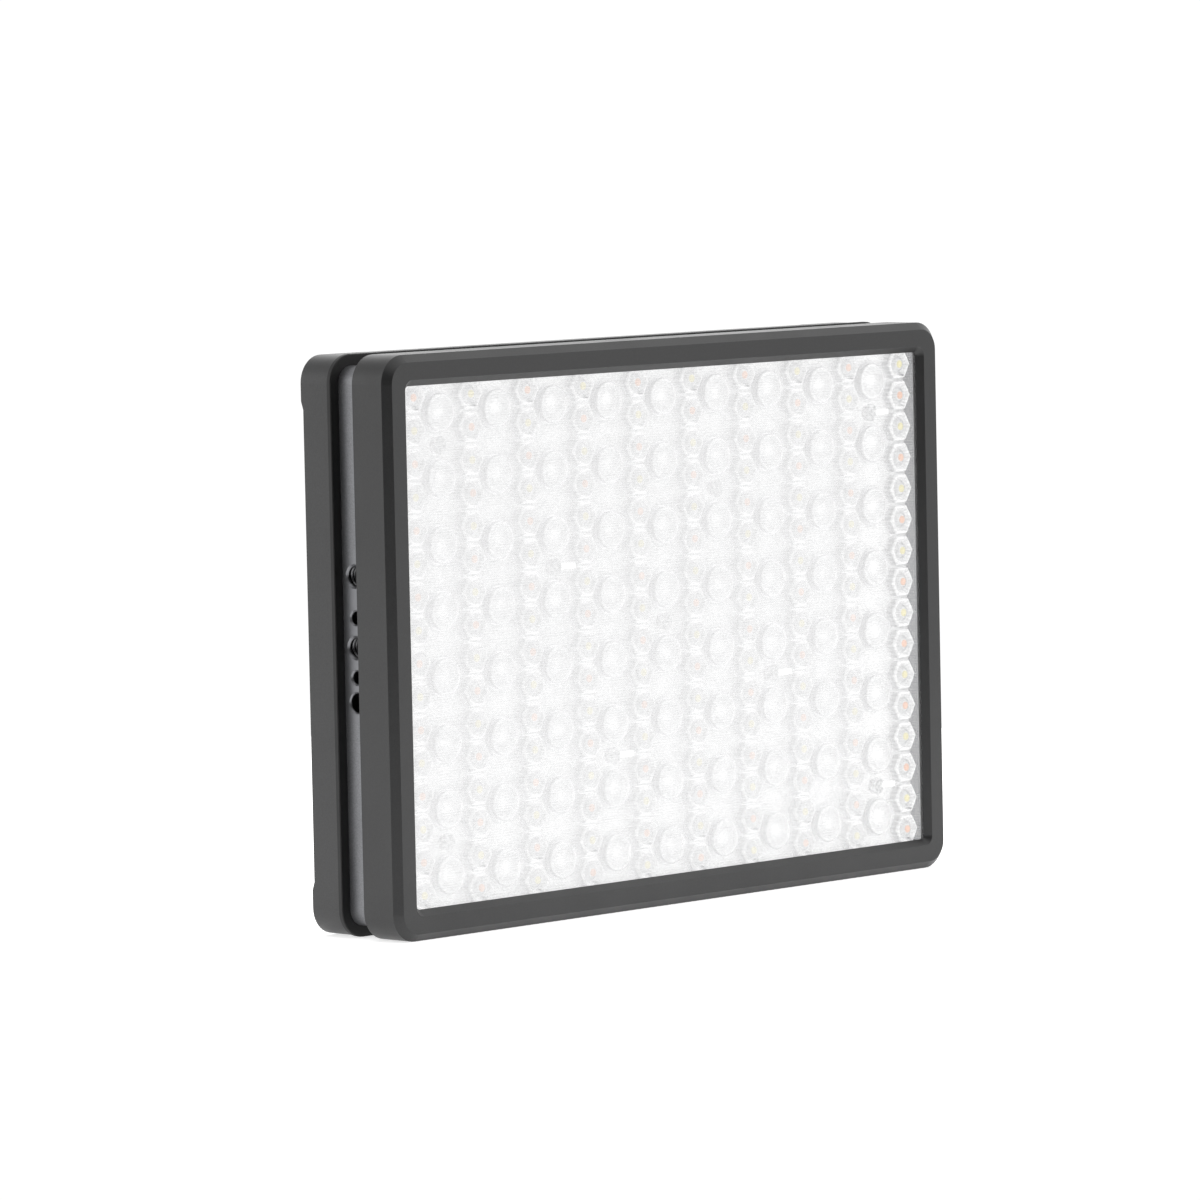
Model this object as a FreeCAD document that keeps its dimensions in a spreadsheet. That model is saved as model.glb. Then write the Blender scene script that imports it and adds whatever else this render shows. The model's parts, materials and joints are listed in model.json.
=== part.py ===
"""LED panel light: a flat rectangular studio light with an accessory channel round its middle.

X runs across the panel, Y from the lit face (-Y) to the back (+Y) and Z up. The origin is
the middle of the footprint, on the surface that the light stands on. Depths are counted
from the front plane of the bezel, and heights off the panel's centre line.
"""
import FreeCAD, Part
import math
import os
import Sketcher
from FreeCAD import Placement, Rotation, Vector

SIZES = (
    ("width", 258.8, "outside width of the bezel and the trim ring"),
    ("height", 181.5, "outside height"),
    ("total_depth", 42.0, "front plane to the outer faces of the knobs"),
    ("corner", 9.0, "outside corner radius"),
    ("bezel_back", 15.1, "depth of the bezel's back edge"),
    ("bezel_wall", 2.2, "bezel wall and lip thickness"),
    ("edge_chamfer", 2.35, "chamfer round the bezel's front edge"),
    ("window_wide", 238.8, "clear window width"),
    ("window_tall", 162.0, "clear window height"),
    ("window_bevel", 1.95, "bevel round the window"),
    ("sheet_thick", 1.0, "window sheet thickness"),
    ("sheet_lap", 2.0, "how far the sheet reaches behind the lip"),
    ("gasket_thick", 0.5, "foam gasket thickness"),
    ("lens_front", 3.9, "depth of the lens tops"),
    ("lens_plate_front", 7.4, "depth of the lens plate's front face"),
    ("lens_plate_back", 8.9, "depth of the lens plate's back face"),
    ("lens_column", 25.26, "pitch of the lens columns"),
    ("lens_row", 10.3, "pitch of the small lenses in a column"),
    ("small_lens", 5.85, "circumradius of a small six-sided lens"),
    ("dome_lens", 5.9, "base radius of a dome lens"),
    ("board_front", 11.0, "depth of the LED board's front face"),
    ("board_thick", 1.6, "circuit board thickness"),
    ("board_wide", 239.2, "LED board width"),
    ("board_tall", 164.8, "LED board height"),
    ("pad_thick", 0.4, "thermal pad thickness"),
    ("frame_front", 13.0, "depth of the middle frame's front face"),
    ("sink_plate_back", 16.0, "depth of the back of the heat sink's plate"),
    ("sink_wide", 239.2, "heat sink width"),
    ("sink_tall", 165.8, "heat sink height"),
    ("ledge_back", 18.0, "depth of the back of the ledges that hold the heat sink"),
    ("ledge_deep", 5.2, "how far a ledge reaches in from the frame's side wall"),
    ("ledge_tall", 46.0, "height of a ledge"),
    ("ledge_z", 58.0, "centre of a ledge above or below the middle"),
    ("frame_back", 26.2, "depth of the middle frame's back edge"),
    ("channel_back", 24.7, "depth of the channel's back wall"),
    ("channel_deep", 3.6, "how far the channel floor lies inside the outline"),
    ("frame_side", 6.0, "middle frame side wall"),
    ("frame_edge", 4.0, "middle frame top and bottom wall"),
    ("fin_thick", 1.6, "cooling fin thickness"),
    ("fin_pitch", 8.0, "cooling fin pitch"),
    ("fin_tall", 108.0, "height of a cooling fin"),
    ("fin_back", 21.6, "depth of the fins' back edges"),
    ("cover_inset", 0.35, "step from the trim ring in to the rear cover"),
    ("cover_back", 37.2, "depth of the rear cover's back face"),
    ("cover_wall", 2.2, "rear cover wall thickness"),
    ("foot_rise", 1.5, "height of the corner feet"),
    ("foot_tall", 12.4, "height of a foot's flat, from the cover's edge"),
    ("foot_wide", 24.0, "width of a foot's flat, from the cover's edge"),
    ("foot_slope", 4.4, "length of the slope beside a foot"),
    ("hole_depth", 19.6, "depth of the centre line of the side and bottom holes"),
    ("thread_radius", 3.2, "wall radius of a 1/4 inch threaded hole"),
    ("thread_rim", 3.85, "rim radius of its countersink"),
    ("thread_long", 9.0, "length of a threaded or plain hole"),
    ("block_deep", 10.5, "how far a hole block reaches in from the channel floor"),
    ("block_low", -23.0, "lower or left end of a row of hole blocks"),
    ("block_high", 28.0, "upper or right end of a row of hole blocks"),
    ("block_play", 0.2, "clearance between the heat sink and a row of hole blocks"),
    ("second_thread", 22.2, "from the middle thread to the second one"),
    ("pin_radius", 2.05, "wall radius of a locating pin hole"),
    ("pin_rim", 2.5, "rim radius of its countersink"),
    ("pin_offset", 9.25, "from the middle thread to a pin hole"),
    ("pin_long", 6.0, "length of a pin hole"),
    ("plain_radius", 3.05, "wall radius of the plain hole"),
    ("plain_rim", 3.45, "rim radius of its countersink"),
    ("plain_offset", 17.1, "from the middle thread to the plain hole"),
    ("bay_x", 83.0, "centre of a battery bay off the middle"),
    ("bay_z", 2.0, "centre of a battery bay above the middle"),
    ("bay_wide", 46.0, "battery bay width"),
    ("bay_tall", 92.0, "battery bay height"),
    ("bay_floor", 33.2, "depth of the battery bay's floor"),
    ("plate_back", 35.2, "depth of the battery plate's face"),
    ("control_front", 28.0, "depth of the control board's front face"),
    ("control_back", 29.6, "depth of the control board's back face"),
    ("knob_x", 31.0, "centre of a knob off the middle"),
    ("knob_z", -42.0, "centre of a knob above the middle"),
    ("knob_radius", 12.0, "knob radius"),
    ("knob_front", 37.9, "depth of the knob's underside"),
    ("dish_floor", 36.4, "depth of the floor of the knob's dish"),
    ("dish_radius", 13.2, "radius of the dish round a knob"),
    ("shaft_radius", 3.0, "encoder shaft radius"),
    ("shaft_play", 0.06, "radial play of the shaft in its rotor"),
    ("rotor_radius", 4.3, "encoder rotor radius"),
    ("rotor_play", 0.06, "radial play of the rotor in its housing"),
    ("button_wide", 11.0, "push button width"),
    ("button_tall", 6.0, "push button height"),
    ("button_z", -12.0, "height of the button row off the middle"),
    ("button_pitch", 19.0, "pitch of the button row"),
    ("button_rise", 0.9, "how far a button stands out of the cover"),
    ("gap", 0.25, "clearance round a moving piece"),
    ("display_z", 22.0, "centre of the display above the middle"),
    ("display_wide", 58.0, "display window width"),
    ("display_tall", 36.0, "display window height"),
    ("latch_z", 36.0, "centre of a battery latch above the bay's centre"),
    ("well_back", 29.4, "depth of the front of a latch's well"),
    ("latch_seat", 34.2, "depth of the shoulder that stops a latch"),
    ("driver_front", 23.0, "depth of the driver board's front face"),
    ("encoder_back", 33.4, "depth of the back of an encoder's housing"),
    ("shaft_front", 30.8, "depth of the inner end of an encoder's shaft"),
    ("shaft_back", 40.2, "depth of the outer end of an encoder's shaft"),
    ("slider_front", 33.6, "depth of the front of the power slider's foot"),
    ("slider_shoulder", 34.8, "depth of the back of the power slider's foot"),
    ("port_board_front", 33.3, "depth of the port board's front face"),
    ("port_x", 117.8, "centre of the port board off the middle"),
    ("jack_depth", 30.2, "depth of the power jack's axis"),
    ("jack_z", -30.0, "height of the power jack off the middle"),
    ("data_depth", 31.65, "depth of the data socket's middle"),
    ("data_z", -52.0, "height of the data socket off the middle"),
    ("vent_wide", 2.4, "width of a vent slot"),
    ("vent_pitch", 8.0, "pitch of the vent slots"),
)

doc = FreeCAD.newDocument("LedPanelLight")
sheet = doc.addObject("Spreadsheet::Sheet", "Sizes")
for row, (alias, value, meaning) in enumerate(SIZES, start=1):
    sheet.set(f"A{row}", meaning)
    sheet.set(f"B{row}", str(value))
    sheet.setAlias(f"B{row}", alias)
doc.recompute()

nodes = {}


def number(expression):
    """Value of an expression over the spreadsheet."""
    return float(sheet.evalExpression(expression))


def size(alias):
    """Value of one driving dimension."""
    return number(f"Sizes.{alias}")


def keep(thing, label):
    """Name a finished sub-part; the label is also its node and file name."""
    thing.Label = label
    nodes[label] = thing
    return thing


def place_y(depth):
    """Expression for the Y of a depth."""
    return f"({depth}) - Sizes.total_depth / 2"


def place_z(above):
    """Expression for the Z of a height off the centre line."""
    return f"({above}) + Sizes.height / 2"


# ---------------------------------------------------------------- sketches and features


def new_body(label):
    """An empty body for one sub-part."""
    body = doc.addObject("PartDesign::Body", label + "_body")
    return keep(body, label)


def new_sketch(body, role, along, across="0", up="0"):
    """Sketch on one of the body's origin planes, moved by three expressions."""
    plane = [item for item in body.Origin.OriginFeatures if item.Role == role][0]
    sketch = body.newObject("Sketcher::SketchObject", body.Name + "_sketch")
    sketch.AttachmentSupport = (plane, [""])
    sketch.MapMode = "FlatFace"
    sketch.setExpression("AttachmentOffset.Base.x", across)
    sketch.setExpression("AttachmentOffset.Base.y", up)
    sketch.setExpression("AttachmentOffset.Base.z", along)
    return sketch


def face_sketch(body, depth, x="0", z="0"):
    """Sketch parallel to the lit face; its normal points to the front (-Y)."""
    return new_sketch(body, "XZ_Plane", f"-({place_y(depth)})", x, place_z(z))


def name_size(sketch, index, name, expression):
    """Bind one dimension of a sketch to the spreadsheet."""
    sketch.renameConstraint(index, name)
    sketch.setExpression("Constraints." + name, expression)


def draw_rectangle(sketch, wide, tall, radius):
    """Rectangle with round corners, centred on the sketch's origin."""
    half_w = number(wide) / 2
    half_h = number(tall) / 2
    r = number(radius)
    corners = (
        (half_w - r, r - half_h, -math.pi / 2, 0),
        (half_w - r, half_h - r, 0, math.pi / 2),
        (r - half_w, half_h - r, math.pi / 2, math.pi),
        (r - half_w, r - half_h, math.pi, 1.5 * math.pi),
    )
    sides = (
        ((r - half_w, -half_h), (half_w - r, -half_h)),
        ((half_w, r - half_h), (half_w, half_h - r)),
        ((half_w - r, half_h), (r - half_w, half_h)),
        ((-half_w, half_h - r), (-half_w, r - half_h)),
    )
    for start, end in sides:
        line = Part.LineSegment(Vector(*start, 0), Vector(*end, 0))
        sketch.addGeometry(line, False)
    for cx, cy, begin, finish in corners:
        circle = Part.Circle(Vector(cx, cy, 0), Vector(0, 0, 1), r)
        sketch.addGeometry(Part.ArcOfCircle(circle, begin, finish), False)
    for side in range(4):
        arc = 4 + side
        following = (side + 1) % 4
        sketch.addConstraint(Sketcher.Constraint("Tangent", side, 2, arc, 1))
        sketch.addConstraint(Sketcher.Constraint("Tangent", arc, 2, following, 1))
    for side, kind in enumerate(("Horizontal", "Vertical", "Horizontal", "Vertical")):
        sketch.addConstraint(Sketcher.Constraint(kind, side))
    for arc in (5, 6, 7):
        sketch.addConstraint(Sketcher.Constraint("Equal", 4, arc))
    sketch.addConstraint(Sketcher.Constraint("Symmetric", 5, 3, 7, 3, -1, 1))
    index = sketch.addConstraint(Sketcher.Constraint("Radius", 4, r))
    name_size(sketch, index, "radius", radius)
    index = sketch.addConstraint(Sketcher.Constraint("DistanceX", 3, 1, 1, 1, 2 * half_w))
    name_size(sketch, index, "wide", wide)
    index = sketch.addConstraint(Sketcher.Constraint("DistanceY", 0, 1, 2, 1, 2 * half_h))
    name_size(sketch, index, "tall", tall)


def draw_circle(sketch, radius):
    """Circle on the sketch's origin."""
    circle = Part.Circle(Vector(0, 0, 0), Vector(0, 0, 1), number(radius))
    sketch.addGeometry(circle, False)
    sketch.addConstraint(Sketcher.Constraint("Coincident", 0, 3, -1, 1))
    index = sketch.addConstraint(Sketcher.Constraint("Radius", 0, number(radius)))
    name_size(sketch, index, "radius", radius)


def draw_circles(sketch, radius, spots):
    """Equal circles at fixed places."""
    for k, (x, y) in enumerate(spots):
        circle = Part.Circle(Vector(x, y, 0), Vector(0, 0, 1), number(radius))
        sketch.addGeometry(circle, False)
        for kind, value, axis in (("DistanceX", x, -2), ("DistanceY", y, -1)):
            if value:
                made = Sketcher.Constraint(kind, -1, 1, k, 3, value)
            else:
                made = Sketcher.Constraint("PointOnObject", k, 3, axis)
            sketch.addConstraint(made)
        if k:
            sketch.addConstraint(Sketcher.Constraint("Equal", 0, k))
    index = sketch.addConstraint(Sketcher.Constraint("Radius", 0, number(radius)))
    name_size(sketch, index, "radius", radius)


def draw_polygon(sketch, points):
    """Closed outline through points given as pairs of expressions."""
    places = [Vector(number(x), number(y), 0) for x, y in points]
    count = len(places)
    for k in range(count):
        sketch.addGeometry(Part.LineSegment(places[k], places[(k + 1) % count]), False)
    for k in range(count):
        sketch.addConstraint(Sketcher.Constraint("Coincident", k, 2, (k + 1) % count, 1))
    for k, (x, y) in enumerate(points):
        for kind, value in (("DistanceX", x), ("DistanceY", y)):
            made = Sketcher.Constraint(kind, -1, 1, k, 1, number(value))
            index = sketch.addConstraint(made)
            name_size(sketch, index, f"{kind}_{k}", value)


def add_feature(body, kind, sketch, length, reverse=False):
    """Pad or Pocket of a sketch by a length given as an expression."""
    feature = body.newObject("PartDesign::" + kind, body.Name + "_" + kind)
    feature.Profile = sketch
    feature.setExpression("Length", length)
    feature.Reversed = reverse
    doc.recompute()
    return feature


def checked_cut(body, sketch, length, reverse=False):
    """Pocket that must take some material away."""
    before = body.Shape.Volume
    feature = add_feature(body, "Pocket", sketch, length, reverse)
    if not body.Shape.Volume < before - 1e-3:
        raise RuntimeError(f"a pocket of {body.Label} cut nothing")
    return feature


def slab(body, front, back, wide, tall, radius, x="0", z="0"):
    """Add a plate with round corners between two depths."""
    sketch = face_sketch(body, back, x, z)
    draw_rectangle(sketch, wide, tall, radius)
    return add_feature(body, "Pad", sketch, f"({back}) - ({front})")


def recess(body, front, back, wide, tall, radius, x="0", z="0"):
    """Remove a plate with round corners between two depths."""
    sketch = face_sketch(body, front, x, z)
    draw_rectangle(sketch, wide, tall, radius)
    return checked_cut(body, sketch, f"({back}) - ({front})")


def post(body, front, back, radius, x, z):
    """Add a round post between two depths."""
    sketch = face_sketch(body, back, x, z)
    draw_circle(sketch, radius)
    return add_feature(body, "Pad", sketch, f"({back}) - ({front})")


def bore(body, front, back, radius, x, z):
    """Remove a round hole between two depths."""
    sketch = face_sketch(body, front, x, z)
    draw_circle(sketch, radius)
    return checked_cut(body, sketch, f"({back}) - ({front})")


def posts(body, front, back, radius, spots):
    """Add equal round posts between two depths."""
    sketch = face_sketch(body, back)
    draw_circles(sketch, radius, spots)
    return add_feature(body, "Pad", sketch, f"({back}) - ({front})")


def bores(body, front, back, radius, spots):
    """Remove equal round holes between two depths."""
    sketch = face_sketch(body, front)
    draw_circles(sketch, radius, spots)
    return checked_cut(body, sketch, f"({back}) - ({front})")


def outer_edges(body, depth, half_w, half_h):
    """Names of the edges of the outline that lie at one depth."""
    y = number(place_y(depth))
    centre_z = size("height") / 2
    found = []
    for k, edge in enumerate(body.Tip.Shape.Edges, start=1):
        box = edge.BoundBox
        level = abs(box.YMin - y) < 1e-4 and abs(box.YMax - y) < 1e-4
        reach_x = max(abs(box.XMin), abs(box.XMax))
        reach_z = max(abs(box.ZMin - centre_z), abs(box.ZMax - centre_z))
        if level and (abs(reach_x - half_w) < 1e-3 or abs(reach_z - half_h) < 1e-3):
            found.append(f"Edge{k}")
    return found


def chamfer_outline(body, depth, wide, tall, amount):
    """Chamfer all edges of a rounded outline at one depth."""
    names = outer_edges(body, depth, number(wide) / 2, number(tall) / 2)
    if not names:
        raise RuntimeError(f"no outline edges found on {body.Label}")
    base = body.Tip
    feature = body.newObject("PartDesign::Chamfer", body.Name + "_Chamfer")
    feature.Base = (base, names)
    feature.setExpression("Size", amount)
    doc.recompute()
    return feature


# ---------------------------------------------------------------- primitives and booleans


def block(name, long_x, long_z, front, back, x="0", z="0"):
    """Box between two depths, centred on (x, z)."""
    box = doc.addObject("Part::Box", name)
    box.setExpression("Length", long_x)
    box.setExpression("Width", f"({back}) - ({front})")
    box.setExpression("Height", long_z)
    box.setExpression("Placement.Base.x", f"({x}) - ({long_x}) / 2")
    box.setExpression("Placement.Base.y", place_y(front))
    box.setExpression("Placement.Base.z", f"{place_z(z)} - ({long_z}) / 2")
    return box


def rod(name, radius, front, back, x="0", z="0"):
    """Cylinder along Y between two depths."""
    cylinder = doc.addObject("Part::Cylinder", name)
    cylinder.Placement = Placement(Vector(0, 0, 0), Rotation(Vector(1, 0, 0), -90))
    cylinder.setExpression("Radius", radius)
    cylinder.setExpression("Height", f"({back}) - ({front})")
    cylinder.setExpression("Placement.Base.x", x)
    cylinder.setExpression("Placement.Base.y", place_y(front))
    cylinder.setExpression("Placement.Base.z", place_z(z))
    return cylinder


def side_rod(name, radius, start, end, depth, z):
    """Cylinder along X between two X values."""
    cylinder = doc.addObject("Part::Cylinder", name)
    cylinder.Placement = Placement(Vector(0, 0, 0), Rotation(Vector(0, 1, 0), 90))
    cylinder.setExpression("Radius", radius)
    cylinder.setExpression("Height", f"({end}) - ({start})")
    cylinder.setExpression("Placement.Base.x", start)
    cylinder.setExpression("Placement.Base.y", place_y(depth))
    cylinder.setExpression("Placement.Base.z", place_z(z))
    return cylinder


def joined(name, *things):
    """One solid from several."""
    fuse = doc.addObject("Part::MultiFuse", name)
    fuse.Shapes = list(things)
    return fuse


def minus(name, base, tool):
    """Base without tool."""
    cut = doc.addObject("Part::Cut", name)
    cut.Base = base
    cut.Tool = tool
    return cut


def shaped(label, shapes):
    """A group of separate like solids as one node."""
    feature = doc.addObject("Part::Feature", label)
    feature.Shape = Part.makeCompound(shapes)
    return keep(feature, label)


def at(x, depth, z):
    """Point from an X, a depth and a height off the centre line."""
    return Vector(x, depth - size("total_depth") / 2, z + size("height") / 2)


def chip(x, z, wide, tall, front, back):
    """Small box between two depths."""
    corner = at(x - wide / 2, front, z - tall / 2)
    return Part.makeBox(wide, back - front, tall, corner)


def pin(x, z, radius, front, back):
    """Small cylinder between two depths."""
    return Part.makeCylinder(radius, back - front, at(x, front, z), Vector(0, 1, 0))


def screw(x, z, head_back, tip, head_radius, shank_radius):
    """Pan-head screw whose head faces back, with a six-sided socket."""
    head_high = head_radius * 0.62
    socket_deep = head_high * 0.6
    head = pin(x, z, head_radius, head_back - head_high, head_back)
    shank = pin(x, z, shank_radius, tip, head_back - head_high)
    corners = []
    for k in range(7):
        angle = k * math.pi / 3
        away = head_radius * 0.5
        spot = at(x, head_back - socket_deep, z)
        corners.append(spot + Vector(away * math.cos(angle), 0, away * math.sin(angle)))
    socket = Part.Face(Part.makePolygon(corners)).extrude(Vector(0, head_high, 0))
    return head.fuse(shank).removeSplitter().cut(socket)


# ---------------------------------------------------------------- places that repeat

BEZEL_SCREWS = [(x, z) for x in (-122.8, 122.8) for z in (-78, -42, 42, 78)]
COVER_SCREWS = [(x, z) for z in (-72, 72) for x in (-110, -38, 38, 110)]
SINK_SCREWS = [(x, z) for x in (-117.2, 117.2) for z in (-60, 60)]
DRIVER_SCREWS = [(x, z) for x in (-88, 88) for z in (-58, 58)]
CONTROL_SCREWS = [(x, z) for x in (-47, 47) for z in (-52, 40)]
PLATE_SCREWS = [(dx, dz) for dx in (-17, 17) for dz in (-32, 43)]


# ---------------------------------------------------------------- lit side


def make_front_bezel():
    """Moulded frame: chamfered outside, bevelled window, bosses along both sides."""
    body = new_body("front_bezel")
    wide, tall = "Sizes.width", "Sizes.height"
    slab(body, "0", "Sizes.bezel_back", wide, tall, "Sizes.corner")
    chamfer_outline(body, "0", wide, tall, "Sizes.edge_chamfer")
    inner_w = "Sizes.width - 2 * Sizes.bezel_wall"
    inner_h = "Sizes.height - 2 * Sizes.bezel_wall"
    inner_r = "Sizes.corner - Sizes.bezel_wall"
    recess(body, "Sizes.bezel_wall", "Sizes.bezel_back", inner_w, inner_h, inner_r)
    recess(body, "0", "Sizes.bezel_wall", "Sizes.window_wide", "Sizes.window_tall", "1.2")
    chamfer_outline(body, "0", "Sizes.window_wide", "Sizes.window_tall", "Sizes.window_bevel")
    for x, z in BEZEL_SCREWS:
        side = math.copysign(1, x)
        ear = f"{x + side * 1.8}"
        front = "Sizes.bezel_wall + Sizes.sheet_thick + Sizes.gasket_thick + 0.3"
        slab(body, front, "Sizes.frame_front", "6.4", "7", "0.5", ear, f"{z}")
    bores(body, "Sizes.frame_front - 7", "Sizes.frame_front", "1.2", BEZEL_SCREWS)
    return body


def make_window_sheet():
    """Clear micro-structured sheet behind the bezel's lip."""
    body = new_body("window_sheet")
    wide = "Sizes.window_wide + 2 * Sizes.sheet_lap"
    tall = "Sizes.window_tall + 2 * Sizes.sheet_lap"
    back = "Sizes.bezel_wall + Sizes.sheet_thick"
    slab(body, "Sizes.bezel_wall", back, wide, tall, "2.5")


def make_sheet_gasket():
    """Black foam frame between the sheet's edge and the lens plate."""
    body = new_body("sheet_gasket")
    front = "Sizes.bezel_wall + Sizes.sheet_thick"
    back = front + " + Sizes.gasket_thick"
    wide = "Sizes.window_wide + 2 * Sizes.sheet_lap"
    tall = "Sizes.window_tall + 2 * Sizes.sheet_lap"
    slab(body, front, back, wide, tall, "2.5")
    recess(body, front, back, "Sizes.window_wide + 1", "Sizes.window_tall + 1", "1")


def small_lens_spots():
    """Column, row and place of each small lens; there is one LED behind each."""
    for column in range(10):
        for line in range(16):
            x = (column - 4.5) * size("lens_column")
            z = (line - 7.5) * size("lens_row")
            yield column, line, x, z


def dome_lens_spots():
    """Place of each dome lens; they stand midway between the columns of small lenses."""
    for column in range(9):
        for line in range(8):
            yield (column - 4) * size("lens_column"), (line - 3.5) * 2 * size("lens_row")


def lens_screw_spots():
    """Places of the screws through the lens plate, midway between dome lenses."""
    step_x, step_z = size("lens_column"), 2 * size("lens_row")
    grid = ((0, 0), (-2, 1), (2, -1), (1, 2), (-1, -2), (-4, 3), (4, 3), (-4, -3), (4, -3))
    return [(i * step_x, k * step_z) for i, k in grid]


def make_lens_array():
    """One clear moulding: a plate with rows of six-sided lenses and rows of domes."""
    front, back = size("lens_plate_front"), size("lens_plate_back")
    top = size("lens_front")
    reach = front - top
    plate = chip(0, 0, size("board_wide"), size("board_tall"), front, back)
    for x, z in lens_screw_spots():
        plate = plate.cut(pin(x, z, 1.9, front, back))
    lenses = []
    for _, _, x, z in small_lens_spots():
        corners = []
        for k in range(7):
            angle = k * math.pi / 3
            away = size("small_lens")
            rim = at(x, front, z) + Vector(away * math.cos(angle), 0, away * math.sin(angle))
            corners.append(rim)
        lenses.append(Part.Face(Part.makePolygon(corners)).extrude(Vector(0, -reach, 0)))
    for x, z in dome_lens_spots():
        base = size("dome_lens")
        lenses.append(Part.makeCone(base, base * 0.6, reach, at(x, front, z), Vector(0, -1, 0)))
    feature = doc.addObject("Part::Feature", "lens_array")
    feature.Shape = plate.fuse(lenses)
    keep(feature, "lens_array")


def make_led_board():
    """Aluminium-core board that carries the LEDs, with holes for its screws."""
    front = size("board_front")
    back = front + size("board_thick")
    board = chip(0, 0, size("board_wide"), size("board_tall"), front, back)
    for x, z in lens_screw_spots():
        board = board.cut(pin(x, z, 1.9, front, back))
    feature = doc.addObject("Part::Feature", "led_board")
    feature.Shape = board
    keep(feature, "led_board")


def make_leds():
    """White LEDs in two tints, chequered behind the small lenses; colour LEDs behind domes."""
    front = size("board_front")
    cool, warm, colour = [], [], []
    for column, line, x, z in small_lens_spots():
        group = cool if (column + line) % 2 == 0 else warm
        group.append(chip(x, z, 3.0, 3.0, front - 0.7, front))
    for x, z in dome_lens_spots():
        colour.append(chip(x, z, 5.0, 5.0, front - 1.5, front))
    shaped("cool_white_leds", cool)
    shaped("warm_white_leds", warm)
    shaped("colour_leds", colour)


def make_lens_screws():
    """Screws that hold lens plate and LED board on the middle frame; heads face forward."""
    screws = []
    for x, z in lens_screw_spots():
        head = pin(x, z, 2.9, size("lens_plate_front") - 1.6, size("lens_plate_front"))
        spacer = pin(x, z, 1.5, size("lens_plate_front"), size("frame_front") + 2.4)
        screws.append(head.fuse(spacer).removeSplitter())
    shaped("lens_screws", screws)


def make_thermal_pad():
    """Soft pad between LED board and middle frame."""
    front = size("board_front") + size("board_thick")
    pad = chip(0, 0, size("board_wide"), size("board_tall"), front, front + size("pad_thick"))
    for x, z in lens_screw_spots():
        pad = pad.cut(pin(x, z, 1.9, front, front + size("pad_thick")))
    feature = doc.addObject("Part::Feature", "thermal_pad")
    feature.Shape = pad
    keep(feature, "thermal_pad")


# ---------------------------------------------------------------- middle frame and ring


def make_mid_frame():
    """Die-cast ring that forms the channel floor; ledges inside it carry the heat sink."""
    body = new_body("mid_frame")
    lip_w = "Sizes.width - 2 * Sizes.bezel_wall - 0.6"
    lip_h = "Sizes.height - 2 * Sizes.bezel_wall - 0.6"
    floor_w = "Sizes.width / 2 - Sizes.channel_deep"
    floor_h = "Sizes.height / 2 - Sizes.channel_deep"
    floor_r = "Sizes.corner - Sizes.channel_deep"
    lip_r = "Sizes.corner - Sizes.bezel_wall - 0.3"
    front, back = "Sizes.frame_front", "Sizes.frame_back"
    slab(body, front, "Sizes.bezel_back", lip_w, lip_h, lip_r)
    slab(body, "Sizes.bezel_back", back, f"2 * ({floor_w})", f"2 * ({floor_h})", floor_r)
    inner_w = f"2 * ({floor_w} - Sizes.frame_side)"
    inner_h = f"2 * ({floor_h} - Sizes.frame_edge)"
    recess(body, front, back, inner_w, inner_h, "1.5")
    for side in ("-1", "1"):
        for end in ("-1", "1"):
            x = f"{side} * ({floor_w} - Sizes.frame_side - Sizes.ledge_deep / 2 + 0.5)"
            wide = "Sizes.ledge_deep + 1"
            z = f"{end} * Sizes.ledge_z"
            ledge = (wide, "Sizes.ledge_tall", "1", x, z)
            slab(body, "Sizes.sink_plate_back", "Sizes.ledge_back", *ledge)
    deep = "Sizes.block_deep"
    long = "Sizes.block_high - Sizes.block_low"
    middle = "(Sizes.block_high + Sizes.block_low) / 2"
    for side in ("-1", "1"):
        x = f"{side} * ({floor_w} - {deep} / 2 + 1)"
        recess(body, "Sizes.bezel_back", back, f"{deep} + 2", long, "0.1", x, middle)
    z = f"{deep} / 2 - 1 - ({floor_h})"
    recess(body, "Sizes.bezel_back", back, long, f"{deep} + 2", "0.1", middle, z)
    bores(body, front, back, "1.5", BEZEL_SCREWS)
    bores(body, "Sizes.ledge_back", back, "2.4", BEZEL_SCREWS)
    bores(body, "Sizes.sink_plate_back", "Sizes.ledge_back", "1.3", SINK_SCREWS)


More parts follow.
